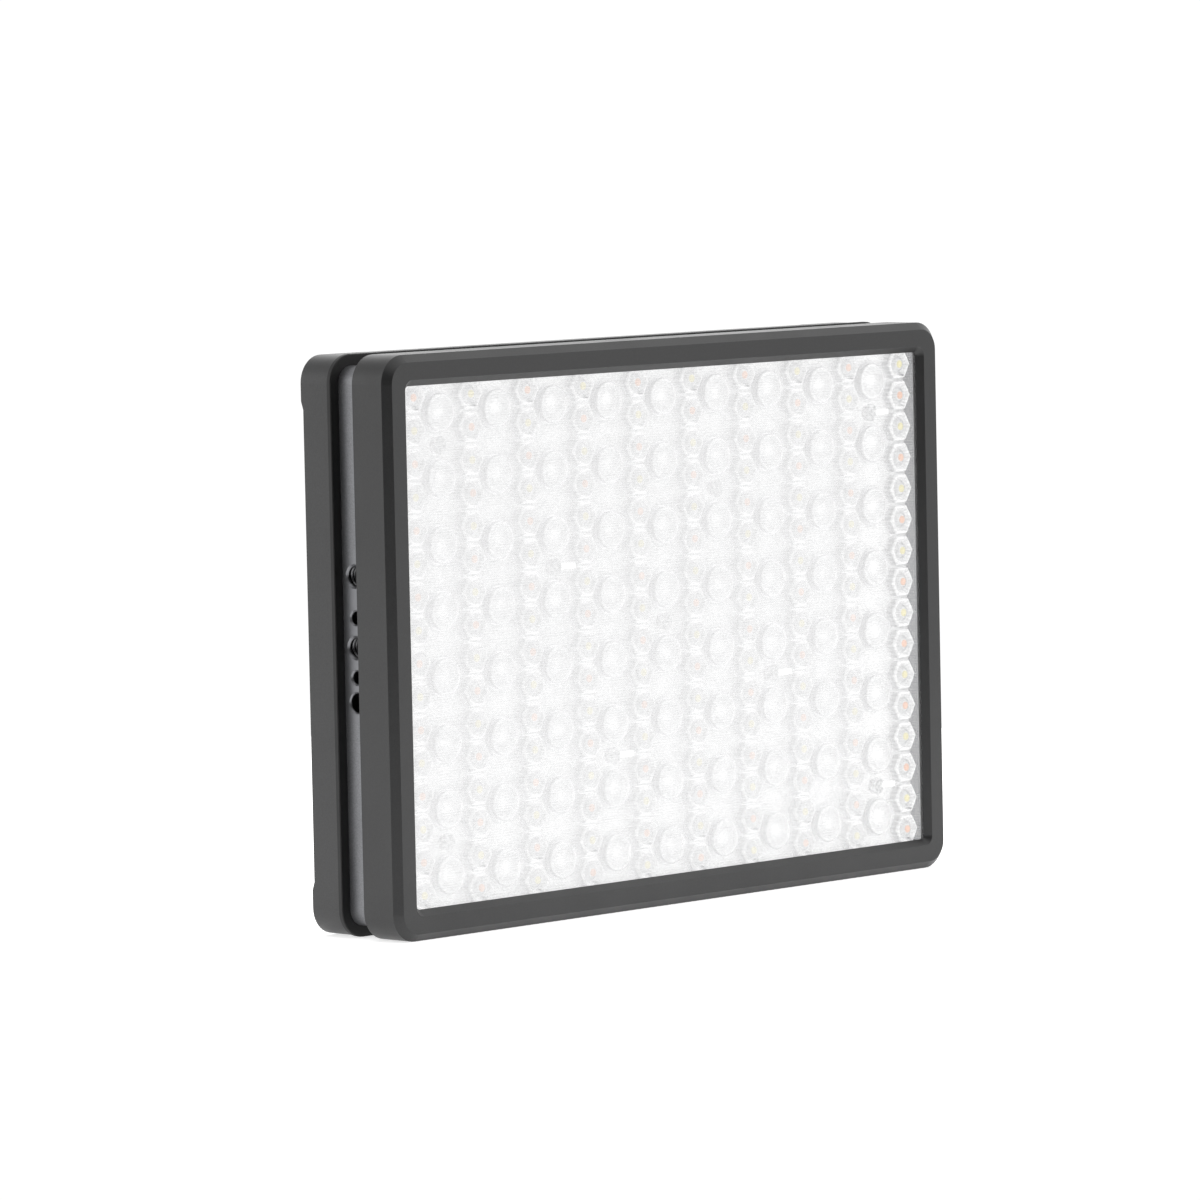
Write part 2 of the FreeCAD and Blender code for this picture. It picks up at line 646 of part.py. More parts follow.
def make_heat_sink():
    """Die-cast plate behind the LED board with cooling fins and screw posts."""
    body = new_body("heat_sink")
    front, plate_back = "Sizes.frame_front", "Sizes.sink_plate_back"
    slab(body, front, plate_back, "Sizes.sink_wide", "Sizes.sink_tall", "1")
    root = f"{plate_back} - 0.5"
    posts(body, root, "Sizes.frame_back", "3.5", COVER_SCREWS)
    posts(body, root, "Sizes.driver_front", "3", DRIVER_SCREWS)
    fin_sketch = face_sketch(body, "Sizes.fin_back", "-10 * Sizes.fin_pitch", "2")
    draw_rectangle(fin_sketch, "Sizes.fin_thick", "Sizes.fin_tall", "0.7")
    fin = add_feature(body, "Pad", fin_sketch, f"Sizes.fin_back - ({root})")
    fins = body.newObject("PartDesign::LinearPattern", "heat_sink_fins")
    fins.Originals = [fin]
    fins.Direction = (fin_sketch, ["H_Axis"])
    fins.setExpression("Length", "20 * Sizes.fin_pitch")
    fins.Occurrences = 21
    body.Tip = fins
    doc.recompute()
    bores(body, "Sizes.frame_back - 6", "Sizes.frame_back", "1.25", COVER_SCREWS)
    bores(body, "Sizes.driver_front - 4", "Sizes.driver_front", "1.0", DRIVER_SCREWS)
    bores(body, front, f"{front} + 2.6", "1.6", lens_screw_spots())
    bores(body, f"{plate_back} - 2.4", plate_back, "1.0", SINK_SCREWS)
    step = "Sizes.bezel_back - Sizes.block_play"
    deep = "Sizes.block_deep + Sizes.block_play"
    long = "Sizes.block_high - Sizes.block_low + 2 * Sizes.block_play"
    middle = "(Sizes.block_high + Sizes.block_low) / 2"
    for side in ("-1", "1"):
        x = f"{side} * (Sizes.width / 2 - Sizes.channel_deep - ({deep}) / 2)"
        recess(body, step, plate_back, deep, long, "0.1", x, middle)
    z = f"({deep}) / 2 - (Sizes.height / 2 - Sizes.channel_deep)"
    recess(body, step, plate_back, long, deep, "0.1", middle, z)


def hole_row():
    """Offset, wall radius, rim radius and length of the holes in one row, from low to high."""
    thread = [size("thread_radius"), size("thread_rim"), size("thread_long")]
    locator = [size("pin_radius"), size("pin_rim"), size("pin_long")]
    plain = [size("plain_radius"), size("plain_rim"), size("thread_long")]
    return [
        [-size("plain_offset"), *plain],
        [-size("pin_offset"), *locator],
        [0, *thread],
        [size("pin_offset"), *locator],
        [size("second_thread"), *thread],
    ]


def hole_block(low, high, offset, wall, rim, long):
    """Block along Z with one hole from its +X face, which lies on the channel floor at x = 0."""
    deep = size("block_deep")
    front, back = size("bezel_back"), size("frame_back")
    block = Part.makeBox(deep, back - front, high - low, Vector(-deep, front, low))
    centre = Vector(0, size("hole_depth"), offset)
    inward = Vector(-1, 0, 0)
    hole = Part.makeCylinder(wall, long, centre, inward)
    rim_cone = Part.makeCone(rim, wall, rim - wall, centre, inward)
    return block.cut(hole).cut(rim_cone)


def make_hole_blocks():
    """Rows of tapped and plain blocks let into the frame's left, right and bottom walls."""
    row = hole_row()
    edges = [size("block_low")]
    for lower, upper in zip(row, row[1:]):
        edges.append((lower[0] + lower[2] + upper[0] - upper[2]) / 2)
    edges.append(size("block_high"))
    reach_x = size("width") / 2 - size("channel_deep")
    reach_z = size("height") / 2 - size("channel_deep")
    half_depth = size("total_depth") / 2
    middle = size("height") / 2
    for name in ("left", "right", "bottom"):
        blocks = []
        for k, hole in enumerate(row):
            block = hole_block(edges[k], edges[k + 1], *hole)
            if name == "left":
                block = block.mirror(Vector(0, 0, 0), Vector(1, 0, 0))
                block.translate(Vector(-reach_x, -half_depth, middle))
            elif name == "right":
                block.translate(Vector(reach_x, -half_depth, middle))
            else:
                block.rotate(Vector(0, 0, 0), Vector(0, 1, 0), 90)
                block.translate(Vector(0, -half_depth, middle - reach_z))
            blocks.append(block)
        shaped(f"hole_blocks_{name}", blocks)


def make_trim_ring():
    """Black flat ring that forms the channel's back wall."""
    body = new_body("trim_ring")
    front, back = "Sizes.channel_back", "Sizes.frame_back"
    slab(body, front, back, "Sizes.width", "Sizes.height", "Sizes.corner")
    chamfer_outline(body, front, "Sizes.width", "Sizes.height", "0.25")
    inner_w = "Sizes.width - 2 * Sizes.channel_deep + 0.1"
    inner_h = "Sizes.height - 2 * Sizes.channel_deep + 0.1"
    recess(body, front, back, inner_w, inner_h, "Sizes.corner - Sizes.channel_deep")


def make_bezel_screws():
    """Screws from the middle frame's columns into the bezel's bosses."""
    head_back = size("ledge_back") + 1.4
    tip = size("frame_front") - 6
    screws = [screw(x, z, head_back, tip, 2.26, 1.15) for x, z in BEZEL_SCREWS]
    shaped("bezel_screws", screws)


def make_sink_screws():
    """Screws through the frame's ledges into the heat sink."""
    head_back = size("ledge_back") + 1.2
    tip = size("sink_plate_back") - 2.3
    shaped("heat_sink_screws", [screw(x, z, head_back, tip, 1.9, 0.97) for x, z in SINK_SCREWS])


# ---------------------------------------------------------------- back side


def cover_size(less="0"):
    """Width, height and corner radius of the rear cover's outline, less a wall."""
    inset = f"(Sizes.cover_inset + {less})"
    wide = f"Sizes.width - 2 * {inset}"
    tall = f"Sizes.height - 2 * {inset}"
    return wide, tall, f"Sizes.corner - {inset}"


def button_places():
    """Name and X of each push button in the row."""
    names = ("menu_button", "mode_button", "effect_button", "back_button")
    return [(name, f"{k - 1.5} * Sizes.button_pitch") for k, name in enumerate(names)]


def make_corner_feet():
    """Raised feet on the rear cover's four corners, with slopes towards its middle."""
    body = new_body("corner_feet")
    body.AllowCompound = True
    back, top_face = "Sizes.cover_back", "(Sizes.cover_back + Sizes.foot_rise)"
    wide, tall, radius = cover_size()
    slab(body, back, top_face, wide, tall, radius)
    chamfer_outline(body, top_face, wide, tall, "0.6")
    for role, half, flat in (
        ("YZ_Plane", f"({tall}) / 2", "Sizes.foot_tall"),
        ("XY_Plane", f"({wide}) / 2", "Sizes.foot_wide"),
    ):
        near, far = place_y(back), place_y(f"{top_face} + 0.01")
        top = f"{half} - {flat}"
        low = f"{top} - Sizes.foot_slope"
        if role == "YZ_Plane":
            sketch = new_sketch(body, role, "0", "0", place_z("0"))
            points = ((near, f"-({low})"), (far, f"-({top})"), (far, top), (near, low))
        else:
            sketch = new_sketch(body, role, place_z("0"))
            points = ((f"-({low})", near), (low, near), (top, far), (f"-({top})", far))
        draw_polygon(sketch, points)
        feature = add_feature(body, "Pocket", sketch, "Sizes.width + 20")
        feature.SideType = "Symmetric"
        doc.recompute()
    bores(body, back, top_face, "3.1", COVER_SCREWS)


def make_rear_cover():
    """Moulded shell with battery bays, control openings and vents."""
    body = new_body("rear_cover")
    front, back = "Sizes.frame_back", "Sizes.cover_back"
    wide, tall, radius = cover_size()
    slab(body, front, back, wide, tall, radius)
    wall_front = f"({back} - Sizes.cover_wall)"
    recess(body, front, wall_front, *cover_size("Sizes.cover_wall"))
    deep = f"({wall_front} + 0.2)"
    posts(body, f"{front} + 0.3", deep, "3.5", COVER_SCREWS)
    posts(body, "Sizes.control_back", deep, "3", CONTROL_SCREWS)
    bores(body, f"{front} + 0.3", back, "1.7", COVER_SCREWS)
    bores(body, f"{back} - 2", back, "3.1", COVER_SCREWS)
    bores(body, "Sizes.control_back", "Sizes.control_back + 4", "1.0", CONTROL_SCREWS)
    for side in ("-1", "1"):
        x = f"{side} * Sizes.bay_x"
        bay = ("Sizes.bay_wide", "Sizes.bay_tall")
        case = ("Sizes.bay_wide + 4.4", "Sizes.bay_tall + 4.4")
        slab(body, "Sizes.bay_floor - 2.2", deep, *case, "3", x, "Sizes.bay_z")
        recess(body, "Sizes.bay_floor", back, *bay, "2", x, "Sizes.bay_z")
        well_z = "Sizes.bay_z + Sizes.latch_z"
        recess(body, "Sizes.bay_floor - 2.2", "Sizes.bay_floor", "16", "12", "0.5", x, well_z)
        seats = [(number(x) + dx, size("bay_z") + dz) for dx, dz in PLATE_SCREWS]
        bores(body, "Sizes.bay_floor - 2.2", "Sizes.bay_floor", "1.0", seats)
        knob_x = f"{side} * Sizes.knob_x"
        post(body, "Sizes.dish_floor - 1.8", deep, "Sizes.dish_radius + 2", knob_x, "Sizes.knob_z")
        bore(body, "Sizes.dish_floor", back, "Sizes.dish_radius", knob_x, "Sizes.knob_z")
        through = ("Sizes.dish_floor - 1.8", "Sizes.dish_floor")
        bore(body, *through, "Sizes.shaft_radius + 0.4", knob_x, "Sizes.knob_z")
    cap = ("Sizes.button_wide + 2 * Sizes.gap", "Sizes.button_tall + 2 * Sizes.gap", "1.4")
    for _, x in button_places():
        recess(body, wall_front, back, *cap, x, "Sizes.button_z")
    glass = ("Sizes.display_wide", "Sizes.display_tall", "2")
    recess(body, f"{back} - 1", back, *glass, "0", "Sizes.display_z")
    opening = ("Sizes.display_wide - 5", "Sizes.display_tall - 5", "1")
    recess(body, wall_front, f"{back} - 1", *opening, "0", "Sizes.display_z")
    recess(body, wall_front, back, "13", "6", "1.5", "0", "Sizes.knob_z")
    for z, tall in (("59.5", "14"), ("-62.5", "9")):
        slot_sketch = face_sketch(body, wall_front, "-9.5 * Sizes.vent_pitch", z)
        draw_rectangle(slot_sketch, "Sizes.vent_wide", tall, "1.15")
        slot = checked_cut(body, slot_sketch, "Sizes.cover_wall")
        slots = body.newObject("PartDesign::LinearPattern", "rear_cover_vents")
        slots.Originals = [slot]
        slots.Direction = (slot_sketch, ["H_Axis"])
        slots.setExpression("Length", "19 * Sizes.vent_pitch")
        slots.Occurrences = 20
        body.Tip = slots
        doc.recompute()
    side_x = f"({wide}) / 2"
    depth, z = "Sizes.jack_depth", "Sizes.jack_z"
    jack_sketch = new_sketch(body, "YZ_Plane", side_x, place_y(depth), place_z(z))
    draw_circle(jack_sketch, "3.7")
    checked_cut(body, jack_sketch, "Sizes.cover_wall + 0.5")
    depth, z = "Sizes.data_depth", "Sizes.data_z"
    data_sketch = new_sketch(body, "YZ_Plane", side_x, place_y(depth), place_z(z))
    draw_rectangle(data_sketch, "3.9", "9.6", "0.4")
    checked_cut(body, data_sketch, "Sizes.cover_wall + 0.5")


def make_cover_screws():
    """Screws from the back through the rear cover into the middle frame."""
    back = size("cover_back") - 0.4
    tip = size("frame_back") - 5
    shaped("cover_screws", [screw(x, z, back, tip, 2.58, 1.2) for x, z in COVER_SCREWS])


def make_display_window():
    """Clear plate let into the rear cover over the display."""
    body = new_body("display_window")
    front, back = "Sizes.cover_back - 1", "Sizes.cover_back"
    wide, tall = "Sizes.display_wide - 0.3", "Sizes.display_tall - 0.3"
    slab(body, front, back, wide, tall, "1.85", "0", "Sizes.display_z")


def make_battery_plate(side, name):
    """Plate in a battery bay: hooks for the battery's slots, contact block, latch well."""
    body = new_body("battery_plate_" + name)
    x = f"{side} * Sizes.bay_x"
    floor, face = "Sizes.bay_floor", "Sizes.plate_back"
    wide, tall = "Sizes.bay_wide - 0.4", "Sizes.bay_tall - 0.4"
    slab(body, floor, face, wide, tall, "1.8", x, "Sizes.bay_z")
    well_z = "Sizes.bay_z + Sizes.latch_z"
    slab(body, "Sizes.well_back", f"{floor} + 0.2", "15", "11", "0.5", x, well_z)
    recess(body, "Sizes.well_back + 1", "Sizes.latch_seat", "12.4", "8.4", "0.5", x, well_z)
    recess(body, "Sizes.latch_seat", face, "10.4", "6.4", "0.5", x, well_z)
    for edge in (-1, 1):
        for z in (-22, 4):
            hook_x = f"{x} + {edge * 20.6}"
            base = ("3", "9", "0.4", hook_x, f"Sizes.bay_z + {z}")
            slab(body, f"{face} - 0.2", f"{face} + 2", *base)
            tip_x = f"{x} + {edge * 19.9}"
            tip = ("4.4", "9", "0.4", tip_x, f"Sizes.bay_z + {z}")
            slab(body, f"{face} + 1", f"{face} + 2", *tip)
    slab(body, f"{face} - 0.2", f"{face} + 2", "30", "7", "0.8", x, "Sizes.bay_z - 41")
    for step in (-1, 0, 1):
        slot = ("3", "6.2", "0.4", f"{x} + {step * 9}", "Sizes.bay_z - 40.6")
        recess(body, f"{face} - 0.8", f"{face} + 2", *slot)
    seats = [(number(x) + dx, size("bay_z") + dz) for dx, dz in PLATE_SCREWS]
    bores(body, floor, face, "1.2", seats)
    bores(body, f"{face} - 1.2", face, "2.2", seats)


def battery_screws():
    """Screws through both battery plates into the bay floors."""
    back = size("plate_back") - 0.1
    tip = size("bay_floor") - 1.5
    screws = []
    for side in (-1, 1):
        for dx, dz in PLATE_SCREWS:
            x, z = side * size("bay_x") + dx, size("bay_z") + dz
            screws.append(screw(x, z, back, tip, 1.76, 0.95))
    return screws


def battery_contacts():
    """Three gilt contact blades in each battery plate's contact block."""
    blades = []
    for side in (-1, 1):
        for step in (-1, 0, 1):
            x = side * size("bay_x") + step * 9
            z = size("bay_z") - 40.6
            blades.append(chip(x, z, 1.0, 5.8, size("plate_back") - 0.8, size("plate_back") + 1.2))
    return blades


def make_latch(side, name):
    """Latch that the battery pushes in as it slides on, and the rubber sleeve that returns it."""
    x = f"{side} * Sizes.bay_x"
    z = "Sizes.bay_z + Sizes.latch_z"
    shoulder = "Sizes.latch_seat - 0.1"
    flange_front = "Sizes.latch_seat - 1.4"
    flange = block(f"latch_{name}_flange", "12", "8", flange_front, shoulder, x, z)
    stem = block(f"latch_{name}_stem", "10", "6", shoulder, "Sizes.plate_back + 1.7", x, z)
    keep(joined(f"latch_{name}_whole", flange, stem), f"latch_{name}")
    floor = "Sizes.well_back + 1.05"
    outer = rod(f"latch_{name}_sleeve", "2.8", floor, flange_front, x, z)
    inner = rod(f"latch_{name}_sleeve_bore", "1.9", floor, flange_front, x, z)
    keep(minus(f"latch_{name}_sleeve_cut", outer, inner), f"latch_sleeve_{name}")


def make_encoder(side, name):
    """Rotary encoder: housing on the control board, turning rotor, shaft that also presses."""
    x = f"{side} * Sizes.knob_x"
    z = "Sizes.knob_z"
    front, back = "Sizes.control_back", "Sizes.encoder_back"
    case = block(f"encoder_{name}_case", "13", "13", front, back, x, z)
    room_radius = "Sizes.rotor_radius + Sizes.rotor_play"
    room = rod(f"encoder_{name}_room", room_radius, f"{front} + 0.3", back, x, z)
    keep(minus(f"encoder_{name}_cut", case, room), f"encoder_body_{name}")
    rotor = (f"{front} + 0.5", f"{back} - 0.2")
    ring = rod(f"encoder_{name}_ring", "Sizes.rotor_radius", *rotor, x, z)
    way = rod(f"encoder_{name}_way", "Sizes.shaft_radius + Sizes.shaft_play", *rotor, x, z)
    keep(minus(f"encoder_{name}_rotor", ring, way), f"encoder_rotor_{name}")
    ends = ("Sizes.shaft_front", "Sizes.shaft_back")
    keep(rod(f"encoder_{name}_shaft", "Sizes.shaft_radius", *ends, x, z), f"encoder_shaft_{name}")


def make_knob(side, name):
    """Round knob with a ribbed side and a shallow dish, blind-bored for the shaft."""
    body = new_body("knob_" + name)
    x = f"{side} * Sizes.knob_x"
    z = "Sizes.knob_z"
    back = "Sizes.total_depth"
    post(body, "Sizes.knob_front", back, "Sizes.knob_radius", x, z)
    bore(body, "Sizes.knob_front", "Sizes.shaft_back", "Sizes.shaft_radius + 0.02", x, z)
    bore(body, f"{back} - 0.5", back, "Sizes.knob_radius - 3", x, z)
    rib = face_sketch(body, "Sizes.knob_front + 1", f"{x} + Sizes.knob_radius", z)
    draw_circle(rib, "0.55")
    groove = checked_cut(body, rib, f"{back} - Sizes.knob_front - 1")
    axis_sketch = face_sketch(body, "0", x, z)
    draw_circle(axis_sketch, "1")
    ribs = body.newObject("PartDesign::PolarPattern", f"knob_{name}_ribs")
    ribs.Originals = [groove]
    ribs.Axis = (axis_sketch, ["N_Axis"])
    ribs.Angle = 360
    ribs.Occurrences = 36
    body.Tip = ribs
    axis_sketch.Visibility = False
    doc.recompute()


def make_button(name, x):
    """Push button: cap through the cover, flange behind it."""
    z = "Sizes.button_z"
    inner = "Sizes.cover_back - Sizes.cover_wall"
    cap = new_body(name)
    wide, tall = "Sizes.button_wide", "Sizes.button_tall"
    slab(cap, f"{inner} - 1", f"Sizes.cover_back + Sizes.button_rise", wide, tall, "1.2", x, z)
    flange = ("Sizes.button_wide + 2.4", "Sizes.button_tall + 2.4", "1")
    slab(cap, f"{inner} - 1.1", f"{inner} - 0.2", *flange, x, z)


def make_power_switch():
    """Slide switch: fixed housing and a thumb piece in a slot of the cover."""
    z = "Sizes.knob_z"
    housing = block("power_housing", "20", "9", "Sizes.control_back", "Sizes.encoder_back", "0", z)
    keep(housing, "power_switch_body")
    foot = block("power_foot", "9", "8", "Sizes.slider_front", "Sizes.slider_shoulder", "-2", z)
    outer = "Sizes.cover_back + 0.8"
    thumb = block("power_thumb", "6", "5.4", "Sizes.slider_shoulder", outer, "-2", z)
    keep(joined("power_slider_whole", foot, thumb), "power_switch_slider")


def make_boards():
    """Driver board with its coils and capacitors, control board, display, switches, ports."""
    front = "Sizes.driver_front"
    back = f"{front} + Sizes.board_thick"
    driver = block("driver_plate", "184", "126", front, back)
    holes = [rod(f"driver_hole_{k}", "1.2", f"{front} - 1", f"{back} + 1", f"{x}", f"{z}")
             for k, (x, z) in enumerate(DRIVER_SCREWS)]
    keep(minus("driver_cut", driver, joined("driver_holes", *holes)), "driver_board")
    top = number(back)
    coils = [pin(x, z, 6.5, top, top + 4.2) for x in (-66, 66) for z in (-24, 0, 24)]
    shaped("driver_coils", coils)
    cans = [pin(x, z, 3.2, top, top + 4.4) for x in (-78, 78) for z in (-36, -12, 12)]
    shaped("driver_capacitors", cans)
    screws = [screw(x, z, top + 1.3, top - 5, 2.1, 0.95) for x, z in DRIVER_SCREWS]
    shaped("driver_board_screws", screws)
    front, back = "Sizes.control_front", "Sizes.control_back"
    control = block("control_plate", "102", "112", front, back, "0", "-8")
    holes = [rod(f"control_hole_{k}", "1.2", f"{front} - 1", f"{back} + 1", f"{x}", f"{z}")
             for k, (x, z) in enumerate(CONTROL_SCREWS)]
    keep(minus("control_cut", control, joined("control_holes", *holes)), "control_board")
    keep(block("display_case", "54", "32", "Sizes.control_back", "34.6", "0", "Sizes.display_z"),
         "display_module")
    switches = []
    for _, x in button_places():
        back = size("control_back")
        switches.append(chip(number(x), size("button_z"), 6, 6, back, back + 3.3))
    shaped("tact_switches", switches)
    spots = []
    for x, z in CONTROL_SCREWS:
        front = size("control_front")
        head = pin(x, z, 2.0, front - 1.2, front)
        shank = pin(x, z, 0.95, front, size("control_back") + 3.5)
        spots.append(head.fuse(shank).removeSplitter())
    shaped("control_board_screws", spots)
    front = "Sizes.port_board_front"
    keep(block("port_plate", "14.4", "44", front, f"{front} + 1.5", "Sizes.port_x", "-40"),
         "port_board")


def make_ports():
    """Power input jack and data socket, facing out of the right-hand side."""
    board = "Sizes.port_board_front"
    depth, z = "Sizes.jack_depth", "Sizes.jack_z"
    jack_body = block("jack_case", "13", "11", f"{depth} - 3.6", board, "119", z)
    nose = side_rod("jack_nose", "3.5", "125", "128.9", depth, z)
    throat = side_rod("jack_throat", "2.75", "119", "129", depth, z)
    shell = minus("jack_shell", joined("jack_outer", jack_body, nose), throat)
    centre = side_rod("jack_centre", "1.05", "118.5", "127.6", depth, z)
    keep(joined("jack_whole", shell, centre), "dc_jack")
    depth, z = "Sizes.data_depth", "Sizes.data_z"
    shell_box = block("data_case", "9.6", "9", f"{depth} - 1.65", board, "124.1", z)
    mouth = block("data_mouth", "7.2", "8.4", f"{depth} - 1.35", f"{depth} + 1.35", "125.4", z)
    tongue = block("data_tongue", "6.6", "6.6", f"{depth} - 0.35", f"{depth} + 0.35", "125", z)
    keep(joined("data_whole", minus("data_shell", shell_box, mouth), tongue), "usb_socket")


make_front_bezel()
make_window_sheet()
make_sheet_gasket()
make_lens_array()
make_led_board()
make_leds()
make_lens_screws()
make_thermal_pad()
make_mid_frame()
make_heat_sink()
make_hole_blocks()
make_trim_ring()
make_bezel_screws()
make_sink_screws()
make_rear_cover()
make_corner_feet()
make_cover_screws()
make_display_window()
for side, name in ((-1, "left"), (1, "right")):
    make_battery_plate(side, name)
    make_latch(side, name)
    make_encoder(side, name)
    make_knob(side, name)
shaped("battery_plate_screws", battery_screws())
shaped("battery_contacts", battery_contacts())
for name, x in button_places():
    make_button(name, x)
make_power_switch()
make_boards()
make_ports()
doc.recompute()

for thing in doc.Objects:
    for bad in ("Invalid", "Error"):
        if bad in thing.State:
            raise RuntimeError(f"{thing.Label} is {bad}")

os.makedirs("parts", exist_ok=True)
for label, thing in nodes.items():
    shape = thing.Shape
    if shape.isNull() or not shape.isValid() or not shape.Solids:
        raise RuntimeError(f"{label} has no valid solid")
    shape.exportStep(f"parts/{label}.step")
    box = shape.BoundBox
    extent = " x ".join(f"{span:.1f}" for span in (box.XLength, box.YLength, box.ZLength))
    print(f"{label}: {len(shape.Solids)} solids, {extent} mm, {shape.Volume / 1000:.2f} cm3")
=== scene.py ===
"""LED panel light: materials, fine geometry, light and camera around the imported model.

Metres, +Z up, the lit face to -Y. Small lengths are given in millimetres and turned into metres by MM,
and depths in millimetres count from the front plane of the bezel.
"""

import json
import math

import bpy
from mathutils import Matrix, Vector


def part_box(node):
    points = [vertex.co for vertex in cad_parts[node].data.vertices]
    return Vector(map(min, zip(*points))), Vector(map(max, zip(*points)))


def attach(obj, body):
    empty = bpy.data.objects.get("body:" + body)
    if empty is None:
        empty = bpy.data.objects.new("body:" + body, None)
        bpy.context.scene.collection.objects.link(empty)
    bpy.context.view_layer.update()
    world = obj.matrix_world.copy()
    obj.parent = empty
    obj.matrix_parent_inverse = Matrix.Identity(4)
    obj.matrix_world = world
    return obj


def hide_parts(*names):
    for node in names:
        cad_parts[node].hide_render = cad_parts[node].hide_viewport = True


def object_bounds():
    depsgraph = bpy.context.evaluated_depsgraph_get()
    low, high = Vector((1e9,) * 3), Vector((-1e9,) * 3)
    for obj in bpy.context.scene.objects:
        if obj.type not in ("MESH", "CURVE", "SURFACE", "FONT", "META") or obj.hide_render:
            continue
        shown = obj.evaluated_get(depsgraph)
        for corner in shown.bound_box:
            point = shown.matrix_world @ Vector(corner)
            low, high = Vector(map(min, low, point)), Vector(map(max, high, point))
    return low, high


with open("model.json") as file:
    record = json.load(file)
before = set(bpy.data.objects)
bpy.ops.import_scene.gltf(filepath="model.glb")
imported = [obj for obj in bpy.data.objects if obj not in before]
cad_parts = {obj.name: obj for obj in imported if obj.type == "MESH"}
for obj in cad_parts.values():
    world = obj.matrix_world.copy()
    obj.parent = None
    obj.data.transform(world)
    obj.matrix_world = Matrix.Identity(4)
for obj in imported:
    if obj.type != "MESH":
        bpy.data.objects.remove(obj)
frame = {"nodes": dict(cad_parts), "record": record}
cad_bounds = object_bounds()
MM = 0.001
HOUSING = "housing"
LOW, HIGH = cad_bounds
MIDDLE = (LOW + HIGH) / 2

# The lens field, in millimetres off the panel's middle. Domes stand at whole columns and odd rows,
# small lenses midway between them.
COLUMN = 25.26
ROW = 10.3

# Depths of the lens moulding.
LENS_TOP = 3.95
PLATE_FRONT = 7.4
PLATE_BACK = 8.9
LENS_FOOT = PLATE_FRONT - 0.05

# Pitch of the window sheet's ribs, and of the coarser painted level lines of shade over the lenses.
RIB_PITCH = 0.7
LINE_PITCH = 0.9


# ---------------------------------------------------------------- camera, light, floor


def make_camera():
    """Long lens from the front left, a little above the middle, with a small roll."""
    yaw, pitch, roll = (math.radians(angle) for angle in (-46.413, 4.309, -1.1925))
    shift_left, shift_up, distance = 25.33, 6.97, 2347.8
    back = Vector((math.sin(yaw) * math.cos(pitch), -math.cos(yaw) * math.cos(pitch), math.sin(pitch)))
    level_right = (-back).cross(Vector((0, 0, 1))).normalized()
    level_up = level_right.cross(-back)
    right = math.cos(roll) * level_right + math.sin(roll) * level_up
    up = math.cos(roll) * level_up - math.sin(roll) * level_right
    front_middle = Vector((MIDDLE.x, LOW.y, MIDDLE.z))
    data = bpy.data.cameras.new("camera")
    data.sensor_width = 36
    data.lens = 220.2
    data.clip_end = 50
    camera = bpy.data.objects.new("camera", data)
    camera.matrix_world = Matrix((right, up, back)).transposed().to_4x4()
    camera.location = front_middle - shift_left * MM * right + shift_up * MM * up + distance * MM * back
    bpy.context.scene.collection.objects.link(camera)
    bpy.context.scene.camera = camera


# Direction, brightness, and the cosines at which a lobe of the room's light begins and is full.
LOBES = (
    ((-0.72, 0.69, 0.0), 1.22, 0.50, 0.95),
    ((0.72, -0.69, 0.0), 1.12, 0.50, 0.95),
    ((0.72, 0.69, 0.1), 1.40, 0.70, 0.97),
    ((0.25, 0.0, 0.97), 1.25, 0.30, 0.90),
)
DARKEST_ROOM = 0.03


def make_lobe(tree, direction, towards, amount, start, end):
    """Brightness that rises smoothly as the direction turns towards the lobe's own."""
    dot = tree.nodes.new("ShaderNodeVectorMath")
    dot.operation = "DOT_PRODUCT"
    dot.inputs[1].default_value = Vector(towards).normalized()
    tree.links.new(direction, dot.inputs[0])
    lobe = tree.nodes.new("ShaderNodeMapRange")
    lobe.interpolation_type = "SMOOTHSTEP"
    lobe.inputs["From Min"].default_value = start
    lobe.inputs["From Max"].default_value = end
    lobe.inputs["To Min"].default_value = 0.0
    lobe.inputs["To Max"].default_value = amount
    tree.links.new(dot.outputs["Value"], lobe.inputs["Value"])
    return lobe.outputs["Result"]


def make_world():
    """White room whose brightness changes softly with direction; it is plain white when seen directly."""
    world = bpy.data.worlds.new("studio")
    bpy.context.scene.world = world
    world.use_nodes = True
    tree = world.node_tree
    tree.nodes.clear()
    direction = tree.nodes.new("ShaderNodeTexCoord").outputs["Generated"]
    brightness = None
    for lobe in LOBES:
        total = tree.nodes.new("ShaderNodeMath")
        total.operation = "ADD"
        total.inputs[1].default_value = DARKEST_ROOM
        if brightness is not None:
            tree.links.new(brightness, total.inputs[1])
        tree.links.new(make_lobe(tree, direction, *lobe), total.inputs[0])
        brightness = total.outputs["Value"]
    lit = tree.nodes.new("ShaderNodeBackground")
    tree.links.new(brightness, lit.inputs["Strength"])
    seen = tree.nodes.new("ShaderNodeBackground")
    seen.inputs["Strength"].default_value = 1.05
    for background in (lit, seen):
        background.inputs["Color"].default_value = (1, 1, 1, 1)
    path = tree.nodes.new("ShaderNodeLightPath")
    mix = tree.nodes.new("ShaderNodeMixShader")
    tree.links.new(path.outputs["Is Camera Ray"], mix.inputs["Fac"])
    tree.links.new(lit.outputs["Background"], mix.inputs[1])
    tree.links.new(seen.outputs["Background"], mix.inputs[2])
    output = tree.nodes.new("ShaderNodeOutputWorld")
    tree.links.new(mix.outputs["Shader"], output.inputs["Surface"])


def make_softbox(name, place):
    """Weak square soft light that points at the object's middle."""
    data = bpy.data.lights.new(name, "AREA")
    data.shape = "SQUARE"
    data.size = 1.2
    data.energy = 3
    light = bpy.data.objects.new(name, data)
    light.location = place
    light.rotation_mode = "QUATERNION"
    light.rotation_quaternion = (MIDDLE - light.location).to_track_quat("-Z", "Y")
    bpy.context.scene.collection.objects.link(light)


